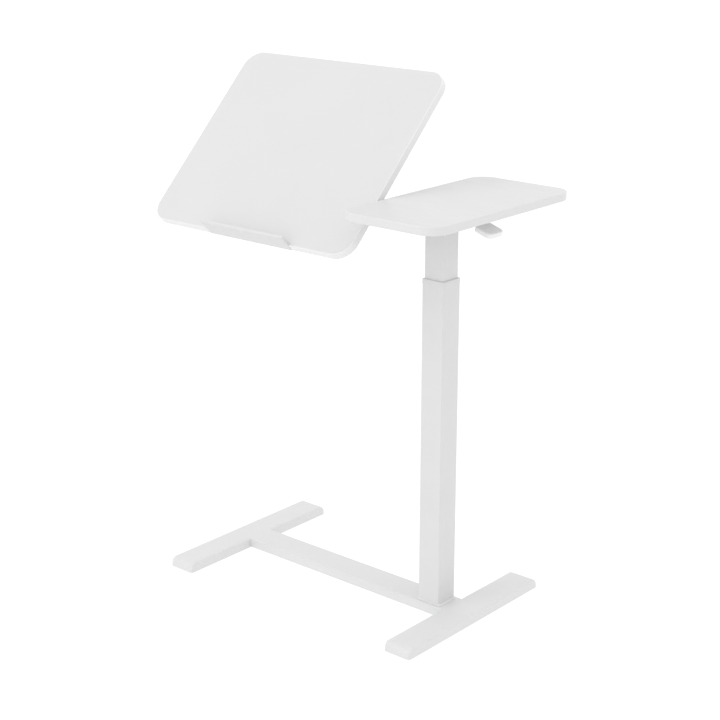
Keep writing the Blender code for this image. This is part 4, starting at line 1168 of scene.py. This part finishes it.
def make_lever():
    make_paddle()
    arm = smoothed_copy("lever_arm_fine", "lever_arm", LEVER_ARM_EDGE)
    finish(arm, "lever", ["lever_arm"], STEEL)
    bracket = smoothed_copy("lever_bracket_fine", "lever_bracket", LEVER_BRACKET_EDGE)
    finish(bracket, "lift", ["lever_bracket"], STEEL)
    low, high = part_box("lever_pin")
    centre = (low + high) / 2
    radius = (high.x - low.x) / 2
    tip = radius * LEVER_PIN_END
    profile = [(tip, low.y), (radius, low.y + LEVER_PIN_EDGE)]
    profile += [(radius, high.y - LEVER_PIN_EDGE), (tip, high.y)]
    turn = Matrix.Translation((centre.x, 0, centre.z)) @ ALONG_Y
    pin = turned("lever_pin_fine", profile, turn)
    finish(pin, "lift", ["lever_pin"], POLISHED)


def paint_kept_nodes():
    """What stays as CAD is inside the column, or the nut at its head."""
    kept = {
        "column_plug": STEEL,
        "gas_cylinder": POLISHED,
        "gas_gland": GREY_PLASTIC,
        "gas_rod": POLISHED,
        "rod_nut": STEEL,
        "lower_bush": PLASTIC,
        "release_pin": POLISHED,
    }
    for name, material in kept.items():
        node = frame["nodes"][name]
        node.data.materials.clear()
        node.data.materials.append(material)


# ---------------------------------------------------------------- studio


def make_floor():
    mesh_data = bmesh.new()
    bmesh.ops.create_grid(mesh_data, x_segments=2, y_segments=2, size=FLOOR_HALF)
    mesh = bpy.data.meshes.new("floor")
    mesh_data.to_mesh(mesh)
    mesh_data.free()
    floor = linked("floor", mesh)
    glow = {"Emission_Color": (1.0, 1.0, 1.0, 1.0), "Emission_Strength": FLOOR_GLOW}
    made = Shader("floor_light_table", 0.9, **glow)
    made.colour(made.between(made.noise(3.0, 3.0), *shaded(FLOOR_TONE, FLOOR_CHANGE)))
    floor.data.materials.append(made.made)


def area_light(name, place, target, size, power):
    lamp = bpy.data.lights.new(name, "AREA")
    lamp.shape = "DISK"
    lamp.size = size
    lamp.energy = power
    made = bpy.data.objects.new(name, lamp)
    made.location = place
    made.rotation_euler = (Vector(target) - Vector(place)).to_track_quat("-Z", "Y").to_euler()
    bpy.context.scene.collection.objects.link(made)


def make_studio():
    make_floor()
    world = bpy.data.worlds.new("studio")
    world.use_nodes = True
    background = world.node_tree.nodes["Background"]
    background.inputs["Color"].default_value = (1.0, 1.0, 1.0, 1.0)
    background.inputs["Strength"].default_value = WORLD_GLOW
    bpy.context.scene.world = world
    area_light("key", *KEY_LAMP)
    area_light("top", *TOP_LAMP)
    bpy.context.scene.view_settings.view_transform = "Standard"


def make_camera():
    lens = bpy.data.cameras.new("camera")
    lens.lens = CAMERA_LENS
    lens.sensor_width = 36.0
    made = bpy.data.objects.new("camera", lens)
    made.location = CAMERA_PLACE
    made.rotation_euler = (pi / 2 - CAMERA_PITCH, 0.0, CAMERA_TURN)
    bpy.context.scene.collection.objects.link(made)
    bpy.context.scene.camera = made


make_camera()
make_base()
make_small_top()
make_panel()
make_ledge()
make_frame()
make_lever()
paint_kept_nodes()
make_studio()
